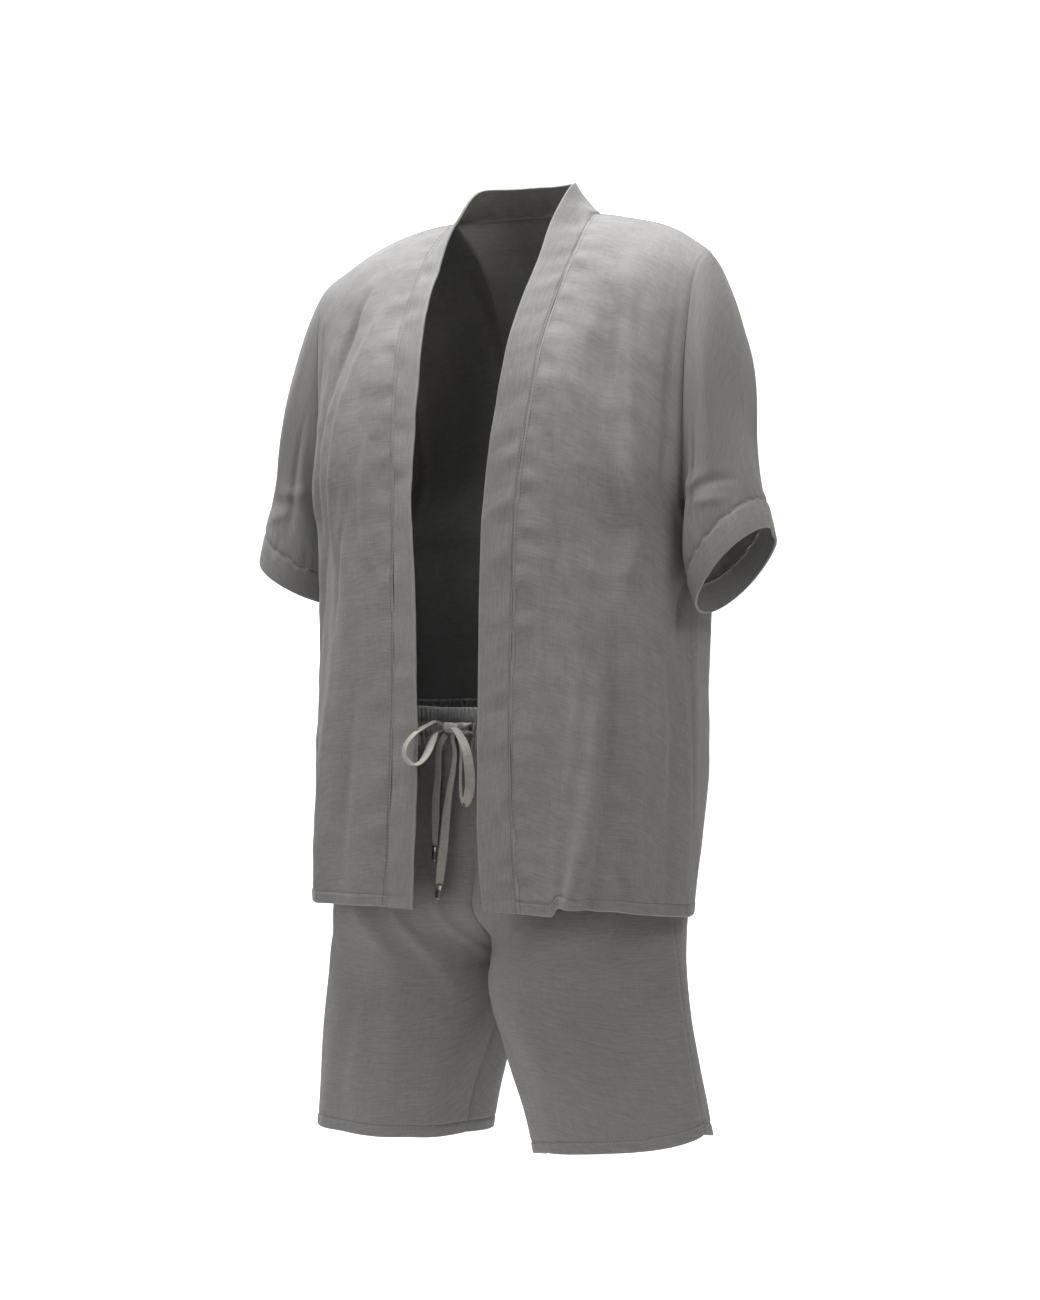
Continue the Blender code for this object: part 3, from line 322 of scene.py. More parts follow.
def smooth_rows(rows, places):
    """Reads a table between its rows: a cubic that passes through each row, at places from 0 to the last row."""
    given = np.asarray(rows, float)
    last = len(given) - 1
    places = np.clip(np.asarray(places, float), 0, last)
    start = np.minimum(places.astype(int), last - 1)
    part = (places - start)[:, None]
    padded = np.vstack([2 * given[0] - given[1], given, 2 * given[-1] - given[-2]])
    before, here, there, after = (padded[start + k] for k in range(4))
    return 0.5 * (
        2 * here
        + (there - before) * part
        + (2 * before - 5 * here + 4 * there - after) * part**2
        + (3 * here - before - 3 * there + after) * part**3
    )


def cornered_rows(rows, places, corner):
    """Reads a table like smooth_rows, with a corner at one of its rows instead of a smooth passage."""
    upper = smooth_rows(rows[: corner + 1], places)
    lower = smooth_rows(rows[corner:], places - corner)
    return np.where((places <= corner)[:, None], upper, lower)


def bezier(start, leave, arrive, end, u):
    """Cubic rows between two columns of points (rows, 3), read at u (columns)."""
    u = np.asarray(u)[None, :, None]
    start, leave, arrive, end = (p[:, None, :] for p in (start, leave, arrive, end))
    v = 1 - u
    return v**3 * start + 3 * v**2 * u * leave + 3 * v * u**2 * arrive + u**3 * end


def spaced(*stops):
    """Places from stop to stop: each further stop is (place, how many even steps lead to it)."""
    places = [np.array([float(stops[0])])]
    for place, steps in stops[1:]:
        places.append(np.linspace(places[-1][-1], place, steps + 1)[1:])
    return np.concatenate(places)


BODY_PLACES = spaced(0, (0.02, 2), (UNDERARM_LEVEL, 76), (11.72, 72), (11.955, 12), (11.985, 3), (12, 3))
LEG_PLACES = spaced(0, (0.03, 2), (CROTCH_LEVEL, 60), (7.62, 46), (7.94, 10), (7.98, 3), (8, 3))
FRONT_COLUMNS = spaced(0, (0.008, 3), (0.06, 10), (0.97, 74), (1, 5))
NECK_COLUMNS = spaced(0, (0.03, 4), (1, 30))
LEG_COLUMNS = spaced(0, (0.03, 5), (0.97, 70), (1, 5))
BAND_COLUMNS = spaced(0, (0.03, 3), (0.12, 5), (0.90, 14), (0.965, 4), (1, 5))
SLEEVE_ROWS = spaced(0, (0.02, 2), (0.97, 66), (1, 4))
CUFF_ROWS = spaced(0, (0.04, 3), (0.90, 12), (0.96, 3), (1, 5))


def body_share(places):
    """How far down the jacket a place is, from 0 at the shoulder to 1 at the hem, as the fold tables measure it."""
    upper = 9 * (np.minimum(places, UNDERARM_LEVEL) / UNDERARM_LEVEL) ** (1 / 1.2)
    lower = 13 * np.maximum(places - UNDERARM_LEVEL, 0) / 5
    return (upper + lower) / 22


def front_panel(levels, side, places, u):
    """One front: rows that leave the band seam and turn towards the armhole or the side seam."""
    row = smooth_rows(levels, places)
    names = {name: row[:, k] for k, name in enumerate(Level._fields)}
    seam = np.stack([side * names["seam_x"], names["seam_y"], names["seam_z"]], 1)
    outer = np.stack([side * names["side_x"], names["side_y"], names["side_z"]], 1)
    chord = outer - seam
    length = np.linalg.norm(chord, axis=1)
    leave = np.radians(names["leave"])
    arrive = np.radians(names["arrive"])
    near = names["near"] * length
    far = names["far"] * length
    arch = 4 / 3 * SHOULDER_RISE * unit(1 - places / 3)
    first_z = chord[:, 2] * names["near"] + arch
    second_z = chord[:, 2] * names["far"] - arch
    first = seam + np.stack([side * np.cos(leave) * near, -np.sin(leave) * near, first_z], 1)
    second = outer - np.stack([side * np.cos(arrive) * far, np.sin(arrive) * far, second_z], 1)
    rows = bezier(seam, first, second, outer, u)
    ease = unit((u - 0.25) / 0.6)
    lift = SHOULDER_LIFT[side] * (ease**2 * (3 - 2 * ease))[None, :] * (unit(1 - places / 3.5) ** 1.5)[:, None]
    rows[..., 2] += lift
    return rows


def neck_arc(turn, half_width, depth, front_y, side_z, back_z):
    """Points round the back of the neck, from the middle of the back (turn 0) to the side of the neck (turn 90)."""
    y = front_y + depth * np.cos(turn)
    z = side_z + (back_z - side_z) * np.cos(turn)
    return np.stack([half_width * np.sin(turn), y, z], 1)


def back_half(levels, side, places):
    """Half of the back, from its middle to one side. Its top follows the neckline, then the shoulder seam."""
    front = smooth_rows(levels, places)
    spine = smooth_rows(BACK, places)
    names = {name: front[:, k] for k, name in enumerate(Level._fields)}
    middle = np.stack([np.zeros(len(spine)), spine[:, 0], spine[:, 1]], 1)
    outer_y = np.where(places < UNDERARM_LEVEL, spine[:, 4], names["side_y"])
    outer = np.stack([side * names["side_x"], outer_y, names["side_z"]], 1)
    chord = outer - middle
    length = np.linalg.norm(chord, axis=1)
    near = spine[:, 2] * length
    far = spine[:, 3] * length
    taper = HEM_TAPER * unit((places - 8) / 4) ** 1.3 if side > 0 else 0.0
    turn = np.radians(names["arrive"] - taper)
    first = middle + np.stack([side * near, np.zeros(len(near)), 0.15 * chord[:, 2]], 1)
    second = outer + np.stack([-side * np.cos(turn) * far, np.sin(turn) * far, -0.35 * chord[:, 2]], 1)
    u = np.concatenate([NECK_SHARE * NECK_COLUMNS, NECK_SHARE + (1 - NECK_SHARE) * FRONT_COLUMNS[1:]])
    rows = bezier(middle, first, second, outer, u)
    top = levels[0]
    turns = NECK_COLUMNS * math.pi / 2
    neck = neck_arc(turns, top.seam_x, BACK[0].y - top.seam_y, top.seam_y, top.seam_z, BACK[0].z)
    neck[:, 0] *= side
    shoulder = front_panel(levels, side, np.array([0.0]), FRONT_COLUMNS)[0]
    wanted = np.vstack([neck, shoulder[1:]])
    fade = unit(1 - places / 5.0)[:, None, None] ** 2
    return rows + (wanted - rows[0])[None] * fade


def back_shares():
    """How far across half the back each column is: 0 in its middle, 1 at its side, as the fold tables measure."""
    return np.concatenate([4 / 14 * NECK_COLUMNS, (4 + 10 * FRONT_COLUMNS[1:]) / 14])


def fold_heights(grid, u, v, folds):
    """Height of all folds at each point: a smooth ridge along each fold's line that fades at its two ends."""
    height = np.zeros(grid.shape[:2])
    across = np.linalg.norm(grid[:, -1] - grid[:, 0], axis=1).mean() / abs(u[-1] - u[0])
    down = np.linalg.norm(grid[-1] - grid[0], axis=1).mean()
    uu, vv = np.meshgrid(u, v)
    for fold in folds:
        share = unit((vv - fold.v0) / (fold.v1 - fold.v0))
        line = fold.u0 + (fold.u1 - fold.u0) * share
        beyond = np.maximum(fold.v0 - vv, 0) + np.maximum(vv - fold.v1, 0)
        distance = np.hypot((uu - line) * across, beyond * down)
        fade = np.sin(math.pi * np.clip(share, 0.02, 0.98)) ** 0.6
        height += fold.rise * fade * bell(distance, fold.width)
    return height


def crease_heights(size_u, size_v, u, v, folds):
    """Height of narrow creases: each a ridge across its straight line, pointed at both ends, on a panel of a size."""
    uu, vv = np.meshgrid(u, v)
    x, y = uu * size_u, vv * size_v
    height = np.zeros(x.shape)
    for fold in folds:
        x0, y0 = fold.u0 * size_u, fold.v0 * size_v
        x1, y1 = fold.u1 * size_u, fold.v1 * size_v
        length = math.hypot(x1 - x0, y1 - y0)
        share = ((x - x0) * (x1 - x0) + (y - y0) * (y1 - y0)) / length**2
        arch = np.sin(math.pi * unit(share))
        away = ((x - x0) * (y1 - y0) - (y - y0) * (x1 - x0)) / length - 0.06 * length * arch
        reach = unit(arch)
        width = fold.width * (0.45 + 0.55 * reach)
        height += CREASE_DEPTH * fold.rise * reach**1.2 * bell(away, width)
    return height


def uneven(s, t, size, seed):
    """Smooth unevenness about zero: nine sines of about one size, in directions and phases drawn from a seed."""
    draw = np.random.RandomState(seed)
    total = 0.0
    for _ in range(9):
        heading, phase = draw.uniform(0, 2 * math.pi, 2)
        rate = 2 * math.pi / (size * draw.uniform(0.7, 1.6))
        total = total + np.sin((s * math.cos(heading) + t * math.sin(heading)) * rate + phase)
    return total / 4.5


def puckers(along, away, pitch, reach, height, seed):
    """Puckers beside a seam: unevenness along it that starts at the seam and fades with the distance from it."""
    fade = (1 - bell(away, PUCKER_START)) * np.exp(-((away / reach) ** 1.2))
    return height * fade * uneven(along, 0.15 * away, pitch, seed)


def inside(away, reach, soft):
    """1 nearer than a reach and 0 beyond it, with a soft step between them."""
    return 0.5 * (1 - np.tanh((away - reach) / (2 * soft)))


def hem_heights(along, away, seed):
    """A turned hem: a second layer up to its stitching, a groove at the stitching, and fine puckers between them."""
    layer = HEM_LAYER * inside(away, HEM_DEPTH, 0.0006)
    groove = -0.0010 * bell(away - HEM_DEPTH, 0.0013)
    ripple = 0.0005 * bell(away - 0.6 * HEM_DEPTH, 0.009) * uneven(along, 0.3 * away, 0.011, seed)
    return layer + groove + ripple


def hem_wall(away):
    """The wall of a panel with a turned hem: two layers up to its stitching."""
    return CLOTH + HEM_WALL * inside(away, HEM_DEPTH, 0.0005)


def hem_wear(away):
    """Wear at a hem's edge and at its stitching."""
    return bell(away, 0.0016) + 0.6 * bell(away - HEM_DEPTH, 0.0015)


def seam_dip(away, depth=0.0009, width=0.0022):
    """The cloth rolls down into a seam."""
    return -depth * bell(away, width)


def lengths(grid):
    """Distances in metres along each row from the first column, and down each column from the first row."""
    across = np.cumsum(np.linalg.norm(np.diff(grid, axis=1), axis=2), axis=1)
    down = np.cumsum(np.linalg.norm(np.diff(grid, axis=0), axis=2), axis=0)
    across = np.concatenate([np.zeros((len(grid), 1)), across], axis=1)
    down = np.concatenate([np.zeros((1, grid.shape[1])), down], axis=0)
    return across, down


def normals(grid, closed, turn):
    """Unit normals of a grid: across-step times down-step, turned outwards by a sign."""
    if closed:
        around = np.concatenate([grid[:, -2:], grid, grid[:, :2]], axis=1)
        across = np.gradient(around, axis=1)[:, 2:-2]
    else:
        across = np.gradient(grid, axis=1)
    down = np.gradient(grid, axis=0)
    normal = turn * np.cross(across, down)
    return normal / np.maximum(np.linalg.norm(normal, axis=2, keepdims=True), 1e-12)


def put_mesh(name, points, quads, mat, uv=None, wear_and_highlight=None, sharp=50):
    """A mesh object from arrays of points and four-cornered faces, with its UV map in metres and its lightening: real
    wear at edges and seams, and a painted highlight on the waistband's gather crests.
    """
    mesh = bpy.data.meshes.new(name)
    mesh.vertices.add(len(points))
    mesh.vertices.foreach_set("co", np.asarray(points, float).ravel())
    mesh.loops.add(quads.size)
    mesh.loops.foreach_set("vertex_index", quads.ravel())
    mesh.polygons.add(len(quads))
    mesh.polygons.foreach_set("loop_start", np.arange(0, quads.size, 4))
    mesh.update(calc_edges=True)
    if uv is not None:
        layer = mesh.uv_layers.new(name="cloth")
        layer.data.foreach_set("uv", uv[quads.ravel()].ravel())
    if wear_and_highlight is not None:
        attribute = mesh.attributes.new("wear_and_highlight", "FLOAT", "POINT")
        attribute.data.foreach_set("value", np.asarray(wear_and_highlight, float).ravel())
    mesh.validate()
    mesh.shade_smooth()
    mesh.set_sharp_from_angle(angle=math.radians(sharp))
    mesh.materials.append(mat)
    obj = bpy.data.objects.new(name, mesh)
    bpy.context.collection.objects.link(obj)
    return obj


def grid_quads(rows, columns, closed):
    """Corner numbers of a grid's quads. A closed grid joins its last column to its first."""
    r = np.arange(rows - 1)[:, None]
    c = np.arange(columns if closed else columns - 1)[None, :]
    n = (c + 1) % columns
    a, b = r * columns + c, r * columns + n
    d, e = (r + 1) * columns + n, (r + 1) * columns + c
    return np.stack([a, e, d, b], -1).reshape(-1, 4)


def tube_quads(rows, columns):
    """Corner numbers of a closed tube's quads and of the strips of quads that cap its two ends."""
    k = np.arange(columns // 2 - 1)
    cap = np.stack([k, k + 1, columns - 2 - k, columns - 1 - k], -1)
    return np.concatenate([grid_quads(rows, columns, True), cap, cap[:, ::-1] + (rows - 1) * columns])


def tube(name, points, centre, mat, uv=None, sharp=50):
    """A closed tube of rings of points (rows, sides). Its faces are turned away from the centre of its middle ring."""
    rows, sides = points.shape[:2]
    flat = points.reshape(-1, 3)
    quads = tube_quads(rows, sides)
    corner, after, _, before = flat[quads[sides * (rows // 2)]]
    if np.cross(after - corner, before - corner) @ (corner - centre) < 0:
        quads = quads[:, ::-1]
    if uv is None:
        return put_mesh(name, flat, quads, mat, sharp=sharp)
    return put_mesh(name, flat, quads, mat, uv.reshape(-1, 2), np.zeros(len(flat)), sharp)


def shell(name, outer, closed, turn, mat, wall=CLOTH, edge=None, wear_and_highlight=None, uv=None):
    """A wall of cloth: its outer grid, an inner one a wall's thickness under it, and strips that close the borders.

    wall may change over the grid. Where edge, the distance to a folded border, is less than half the wall, both
    surfaces curve together to the wall's middle, as cloth does round a fold.
    """
    rows, columns = outer.shape[:2]
    normal = normals(outer, closed, turn)
    wall = np.broadcast_to(wall, (rows, columns))[..., None]
    half = wall / 2
    if edge is not None:
        near = 1 - unit(edge[..., None] / half)
        half = half * np.sqrt(np.maximum(1 - near**2, 0.01))
    middle = outer - normal * wall / 2
    points = np.concatenate([(middle + normal * half).reshape(-1, 3), (middle - normal * half).reshape(-1, 3)])
    count = rows * columns
    face = grid_quads(rows, columns, closed)

    def strip(line, after):
        return np.stack([line, after, after + count, line + count], -1)

    c = np.arange(columns if closed else columns - 1)
    n = (c + 1) % columns
    foot = (rows - 1) * columns
    borders = [strip(c, n), strip(foot + n, foot + c)]
    if not closed:
        r = np.arange(rows - 1) * columns
        last = r + columns - 1
        borders += [strip(r + columns, r), strip(last, last + columns)]
    quads = np.concatenate([face, (face + count)[:, ::-1], *borders])
    first = points[face[len(face) // 2]]
    facing = np.cross(first[1] - first[0], first[3] - first[0])
    if facing @ normal.reshape(-1, 3)[face[len(face) // 2][0]] < 0:
        quads = quads[:, ::-1]
    if uv is None:
        across, down = lengths(outer)
        uv = np.stack([across, down], -1)
    uv = np.tile(uv.reshape(-1, 2), (2, 1))
    if wear_and_highlight is not None:
        wear_and_highlight = np.tile(np.broadcast_to(wear_and_highlight, (rows, columns)).ravel(), 2)
    return put_mesh(name, points, quads, mat, uv, wear_and_highlight)


def stitches(name, rows, mat, pitch=0.0034, length=0.0026, radius=0.00033):
    """Stitches along lines that lie on cloth: each is a small spindle with four rings of six points.

    rows holds (line, lift): points on the cloth's surface and the directions out of it.
    """
    middles, ways, lifts = [], [], []
    for line, lift in rows:
        reached = along(line)
        at = np.arange(pitch / 2, reached[-1], pitch)
        middles.append(between(at, reached, line))
        slope = np.gradient(line, axis=0) / np.maximum(np.gradient(reached)[:, None], 1e-9)
        ways.append(between(at, reached, slope))
        lifts.append(between(at, reached, lift))
    middle, way, lift = (np.concatenate(part) for part in (middles, ways, lifts))
    way = unit_rows(way)
    lift -= way * (lift * way).sum(1, keepdims=True)
    lift = unit_rows(lift)
    side = np.cross(way, lift)
    turn = np.linspace(0, 2 * math.pi, 6, endpoint=False)
    share = np.array([-0.5, -0.30, 0.30, 0.5])
    size = np.array([0.35, 1.0, 1.0, 0.35]) * radius
    sink = np.array([-0.8, 0.35, 0.35, -0.8]) * radius
    ring = middle[:, None, None] + way[:, None, None] * (share * length)[None, :, None, None]
    rise = sink[:, None] + size[:, None] * np.sin(turn)
    spread = size[:, None] * np.cos(turn)
    ring = ring + lift[:, None, None] * rise[None, :, :, None] + side[:, None, None] * spread[None, :, :, None]
    corners = len(share) * len(turn)
    quads = (np.arange(len(middle)) * corners)[:, None, None] + tube_quads(len(share), len(turn))[None]
    return put_mesh(name, ring.reshape(-1, 3), quads.reshape(-1, 4), mat)


class Value:
    """A number or colour that changes over a surface, as a socket. Its operators add Math nodes."""

    def __init__(self, finish, socket):
        self.finish = finish
        self.socket = socket

    def math(self, operation, *others):
        return self.finish.value("ShaderNodeMath", 0, {"operation": operation}, dict(enumerate((self, *others))))

    def __add__(self, other):
        return self.math("ADD", other)

    __radd__ = __add__

    def __mul__(self, other):
        return self.math("MULTIPLY", other)

    __rmul__ = __mul__

    def __sub__(self, other):
        return self.math("SUBTRACT", other)

    def __rsub__(self, other):
        return self.finish.value("ShaderNodeMath", 0, {"operation": "SUBTRACT"}, {0: other, 1: self})

    def __abs__(self):
        return self.math("ABSOLUTE")

    def sine(self):
        return self.math("SINE")

    def limited(self, low=0.0, high=1.0):
        return self.math("MAXIMUM", low).math("MINIMUM", high)


class Finish:
    """A Principled material and the nodes that feed it."""

    def __init__(self, name, **fixed):
        self.material = bpy.data.materials.new(name)
        self.material.use_nodes = True
        self.tree = self.material.node_tree
        self.shader = self.tree.nodes["Principled BSDF"]
        for key, number in fixed.items():
            self.shader.inputs[key.replace("_", " ")].default_value = number

    def node(self, kind, settings, inputs):
        """One node: its type, its settings, then the values or links of its sockets."""
        node = self.tree.nodes.new(kind)
        for key, setting in settings.items():
            setattr(node, key, setting)
        for key, given in inputs.items():
            if isinstance(given, Value):
                self.tree.links.new(given.socket, node.inputs[key])
            else:
                node.inputs[key].default_value = given
        return node

    def value(self, kind, output, settings, inputs):
        return Value(self, self.node(kind, settings, inputs).outputs[output])

    def noise(self, x, y, z, detail=2.0, roughness=0.5):
        """Smooth noise from 0 to 1 at a place given by three numbers."""
        place = self.value("ShaderNodeCombineXYZ", 0, {}, {"X": x, "Y": y, "Z": z})
        return self.value(
            "ShaderNodeTexNoise", "Fac", {}, {"Vector": place, "Scale": 1.0, "Detail": detail, "Roughness": roughness}
        )

    def speckle(self, scale, detail=2.0):
        """Noise from 0 to 1 on object coordinates, with so many spots to a metre."""
        place = self.value("ShaderNodeTexCoord", "Object", {}, {})
        return self.value("ShaderNodeTexNoise", "Fac", {}, {"Vector": place, "Scale": scale, "Detail": detail})

    def mix(self, factor, first, second):
        """A colour between two."""
        return self.value("ShaderNodeMix", 2, {"data_type": "RGBA"}, {0: factor, 6: first, 7: second})

    def colour(self, value):
        self.tree.links.new(value.socket, self.shader.inputs["Base Color"])

    def rough(self, value):
        self.tree.links.new(value.socket, self.shader.inputs["Roughness"])

    def bump(self, height, distance, strength):
        """Raises the surface by a height from 0 to 1 over a distance in metres."""
        bump = self.value("ShaderNodeBump", 0, {}, {"Height": height, "Distance": distance, "Strength": strength})
        self.tree.links.new(bump.socket, self.shader.inputs["Normal"])


def woven(name, dark, light, wear_and_highlight_colour, pitch, depth, slub, rough, sheen):
    """Plain-woven cloth on a UV map in metres: yarns that pass over and under, slubs along both yarns, soft mottling.

    Yarn height is |sin(pi u/p)|(0.6 + 0.4 k) + |sin(pi v/p)|(0.6 - 0.4 k), where k = sin(pi u/p) sin(pi v/p).
    """
    finish = Finish(name, Sheen_Weight=sheen, Sheen_Roughness=0.45, Specular_IOR_Level=0.25)
    uv = finish.value("ShaderNodeUVMap", 0, {"uv_map": "cloth"}, {})
    parts = finish.node("ShaderNodeSeparateXYZ", {}, {0: uv})
    u, v = Value(finish, parts.outputs[0]), Value(finish, parts.outputs[1])
    warp = (u * (math.pi / pitch)).sine()
    weft = (v * (math.pi / pitch)).sine()
    over = warp * weft
    yarns = abs(warp) * (0.6 + 0.4 * over) + abs(weft) * (0.6 - 0.4 * over)
    weft_slub = finish.noise(u * 55, v * 1250, 1.7)
    warp_slub = finish.noise(u * 1250, v * 70, 4.3)
    mottle = finish.noise(u * 130, v * 210, 8.1, detail=3.0)
    cloud = finish.noise(u * 14, v * 11, 2.9)
    tone = slub * (weft_slub - 0.5) + 0.6 * slub * (warp_slub - 0.5) + 0.5 * (mottle - 0.5) + 0.25 * (cloud - 0.5)
    tone = (0.5 + tone + 0.10 * (yarns - 0.7)).limited()
    # The lighter wear colour shows real wear at edges and seams, and a painted highlight on the waistband's gather
    # crests.
    wear_and_highlight = finish.value("ShaderNodeAttribute", "Fac", {"attribute_name": "wear_and_highlight"}, {})
    finish.colour(finish.mix((wear_and_highlight * (0.35 + 0.5 * mottle)).limited(), finish.mix(tone, dark, light), wear_and_highlight_colour))
    finish.rough((rough + 0.10 * (mottle - 0.5) - 0.05 * yarns).limited(0.3, 1.0))
    finish.bump(0.45 * yarns + 0.5 * weft_slub + 0.35 * warp_slub + 0.25 * mottle, depth, 0.8)
    return finish.material


def plain_yarn(name, dark, light, rough):
    """Sewing thread: a fine mottled yarn on object coordinates."""
    finish = Finish(name, Sheen_Weight=0.2, Specular_IOR_Level=0.3)
    spots = finish.speckle(900.0)
    finish.colour(finish.mix(spots, dark, light))
    finish.rough((rough + 0.2 * (spots - 0.5)).limited())
    return finish.material


def brushed_metal(name, dark, light):
    """Dull plated metal with fine scratches and spots of tarnish on object coordinates."""
    finish = Finish(name, Metallic=1.0)
    spots = finish.speckle(420.0, 3.0)
    scratch = finish.speckle(2400.0)
    finish.colour(finish.mix(spots, dark, light))
    finish.rough((0.26 + 0.25 * (scratch - 0.4)).limited(0.12, 0.7))
    finish.bump(scratch, 0.00008, 0.3)
    return finish.material


def tape_frames(strand):
    """Middles, widths, and the side and face directions of a tape along its route.

    Side is the camera's right turned by the strand's turn towards the camera, made square to the route.
    """
    count = max(24, 6 * len(strand))
    row = smooth_rows(strand, np.linspace(0, len(strand) - 1, count))
    reached = along(row[:, :3])
    at = np.linspace(0, reached[-1], count)
    row = between(at, reached, row)
    middle = row[:, :3]
    way = unit_rows(np.gradient(middle, axis=0))
    turn = np.radians(row[:, 3])[:, None]
    side = np.cos(turn) * CAMERA_RIGHT + np.sin(turn) * CAMERA_SIDE
    side -= way * (side * way).sum(1, keepdims=True)
    side = unit_rows(side)
    return middle, side, np.cross(way, side), row[:, 4:5] * TAPE_WIDTH, at


def tape(name, strand, mat, cup=0.10):
    """A flat woven tape: a rounded flat section, slightly cupped, carried along its route."""
    middle, side, face, width, at = tape_frames(strand)
    turn = np.linspace(0, 2 * math.pi, TAPE_SIDES, endpoint=False)
    across = np.sign(np.cos(turn)) * np.abs(np.cos(turn)) ** 0.75 / 2
    thick = np.sign(np.sin(turn)) * np.abs(np.sin(turn)) ** 0.65 / 2
    squeeze = (TAPE_WIDTH / np.maximum(width, 0.004)) ** 0.5
    bow = cup * width * (4 * across[None, :] ** 2 - 0.4)
    points = middle[:, None] + side[:, None] * (width * across[None, :])[..., None]
    points = points + face[:, None] * (TAPE_THICKNESS * squeeze * thick[None, :] + bow)[..., None]
    uv = np.stack(np.broadcast_arrays(turn / (2 * math.pi) * TAPE_GIRTH, at[:, None]), -1)
    return tube(name, points, middle[len(at) // 2], mat, uv), middle


def lathe(name, start, way, profile, mat, wide=1.0, sides=28):
    """A turned piece: (along, radius) pairs carried round an axis as ovals, with its two ends closed flat."""
    side = np.cross(way, [0, 1, 0])
    side /= np.linalg.norm(side)
    front = np.cross(way, side)
    turn = np.linspace(0, 2 * math.pi, sides, endpoint=False)
    place, radius = np.array(profile).T
    circle = wide * np.cos(turn)[:, None] * side + np.sin(turn)[:, None] / wide * front
    points = start + way * place[:, None, None] + circle[None] * radius[:, None, None]
    return tube(name, points, start + way * place[len(place) // 2], mat, sharp=35)


def aimed(name, data, place, aim):
    """A camera or a lamp at a place, turned towards another."""
    obj = bpy.data.objects.new(name, data)
    bpy.context.collection.objects.link(obj)
    obj.location = place
    obj.rotation_euler = (Vector(aim) - Vector(place)).to_track_quat("-Z", "Y").to_euler()
    return obj


def make_camera():
    """The camera at the photograph's height and angle."""
    data = bpy.data.cameras.new("camera")
    data.lens = LENS
    data.sensor_fit = "VERTICAL"
    data.sensor_height = 36
    data.shift_x = FRAMING_SHIFT
    place = (*(CAMERA_DISTANCE * CAMERA_SIDE[:2]), CAMERA_HEIGHT)
    bpy.context.scene.camera = aimed("camera", data, place, (0, 0, AIM_HEIGHT))


def make_drawstring(tape_mat, metal_mat):
    """The tied drawstring: two loops, two free ends with metal tips, two short runs to the waistband, and the knot."""
    knot = make_knot(tape_mat)
    dress(knot, "drawstring_knot")
    for name, strand in (("drawstring_loop_right", LOOP_RIGHT), ("drawstring_loop_left", LOOP_LEFT)):
        piece, route = tape(name + "_tape", strand, tape_mat)
        declare_tape(piece, name)
    for name, strand, wide in (("right", END_RIGHT, 1.05), ("left", END_LEFT, 1.28)):
        piece, route = tape("drawstring_end_%s_tape" % name, strand, tape_mat, cup=0.06)
        ends = np.array([p[:3] for p in strand])
        way = ends[-1] - ends[-2]
        way /= np.linalg.norm(way)
        tip = make_tip("drawstring_tip_%s_metal" % name, ends[-1] + way * 0.0003, way, wide, metal_mat)
        dress(tip, "drawstring_tip_" + name)
        declare_tape(piece, "drawstring_end_" + name)
    for name, strand in (("upper", EXIT_UPPER), ("lower", EXIT_LOWER)):
        piece, _ = tape("drawstring_exit_%s_tape" % name, strand, tape_mat)
        dress(piece, "drawstring_exit_" + name)


def dress(piece, node):
    """Puts a piece on the one body, in its solid's place, and hides the solid."""
    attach(piece, "root")
    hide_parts(node)


def declare_tape(piece, node):
    """Puts a strand on the one body, in its solid's place, and hides the solid."""
    dress(piece, node)


def make_tip(name, start, way, wide, mat):
    """The metal tip: a crimped tube with a rolled rim at each end."""
    r, n = TIP_RADIUS, TIP_LENGTH
    profile = [
        (-0.0006, 0.0001), (-0.0006, 0.80 * r), (-0.0002, 1.0 * r), (0.0006, 1.08 * r), (0.0014, 1.0 * r),
        (0.0020, 0.93 * r), (0.30 * n, 0.92 * r), (0.36 * n, 0.84 * r), (0.42 * n, 0.92 * r), (0.80 * n, 0.92 * r),
        (0.88 * n, 0.96 * r), (0.95 * n, 1.06 * r), (0.99 * n, 0.98 * r), (1.0 * n, 0.78 * r), (1.0 * n, 0.0001),
    ]
    return lathe(name, start, way, profile, mat, wide)


def make_knot(mat):
    """The bow's knot: tape wound round itself, as three slanting coils on a flat oval core.

    A point is the oval section of its station along X, swollen by |sin| of the coil's phase, which slants with turn.
    """
    rows, sides = 60, 48
    turn = np.linspace(0, 2 * math.pi, sides, endpoint=False)
    a, t = np.meshgrid(np.linspace(-1, 1, rows), turn, indexing="ij")
    taper = np.sqrt(np.clip(1 - np.abs(a) ** 5, 0.04, 1))
    coil = np.abs(np.sin(math.pi * (1.5 * a + 0.5 + 0.22 * np.sin(t)))) ** 0.7
    size = taper * (0.80 + 0.26 * coil)
    x = KNOT[0] + KNOT_HALF[0] * a
    y = KNOT[1] + KNOT_HALF[1] * size * np.sign(np.cos(t)) * np.abs(np.cos(t)) ** 0.8
    z = KNOT[2] + KNOT_HALF[2] * size * np.sin(t) - 0.0010 * a
    points = np.stack([x, y, z], -1)
    uv = np.stack([x - KNOT[0], t * 0.005], -1)
    return tube("drawstring_knot_tape", points, [x[rows // 2, 0], KNOT[1], KNOT[2]], mat, uv)


def declare_cloth(piece, node):
    """Puts a cloth piece on the one body, in its solid's place, and hides the solid."""
    dress(piece, node)


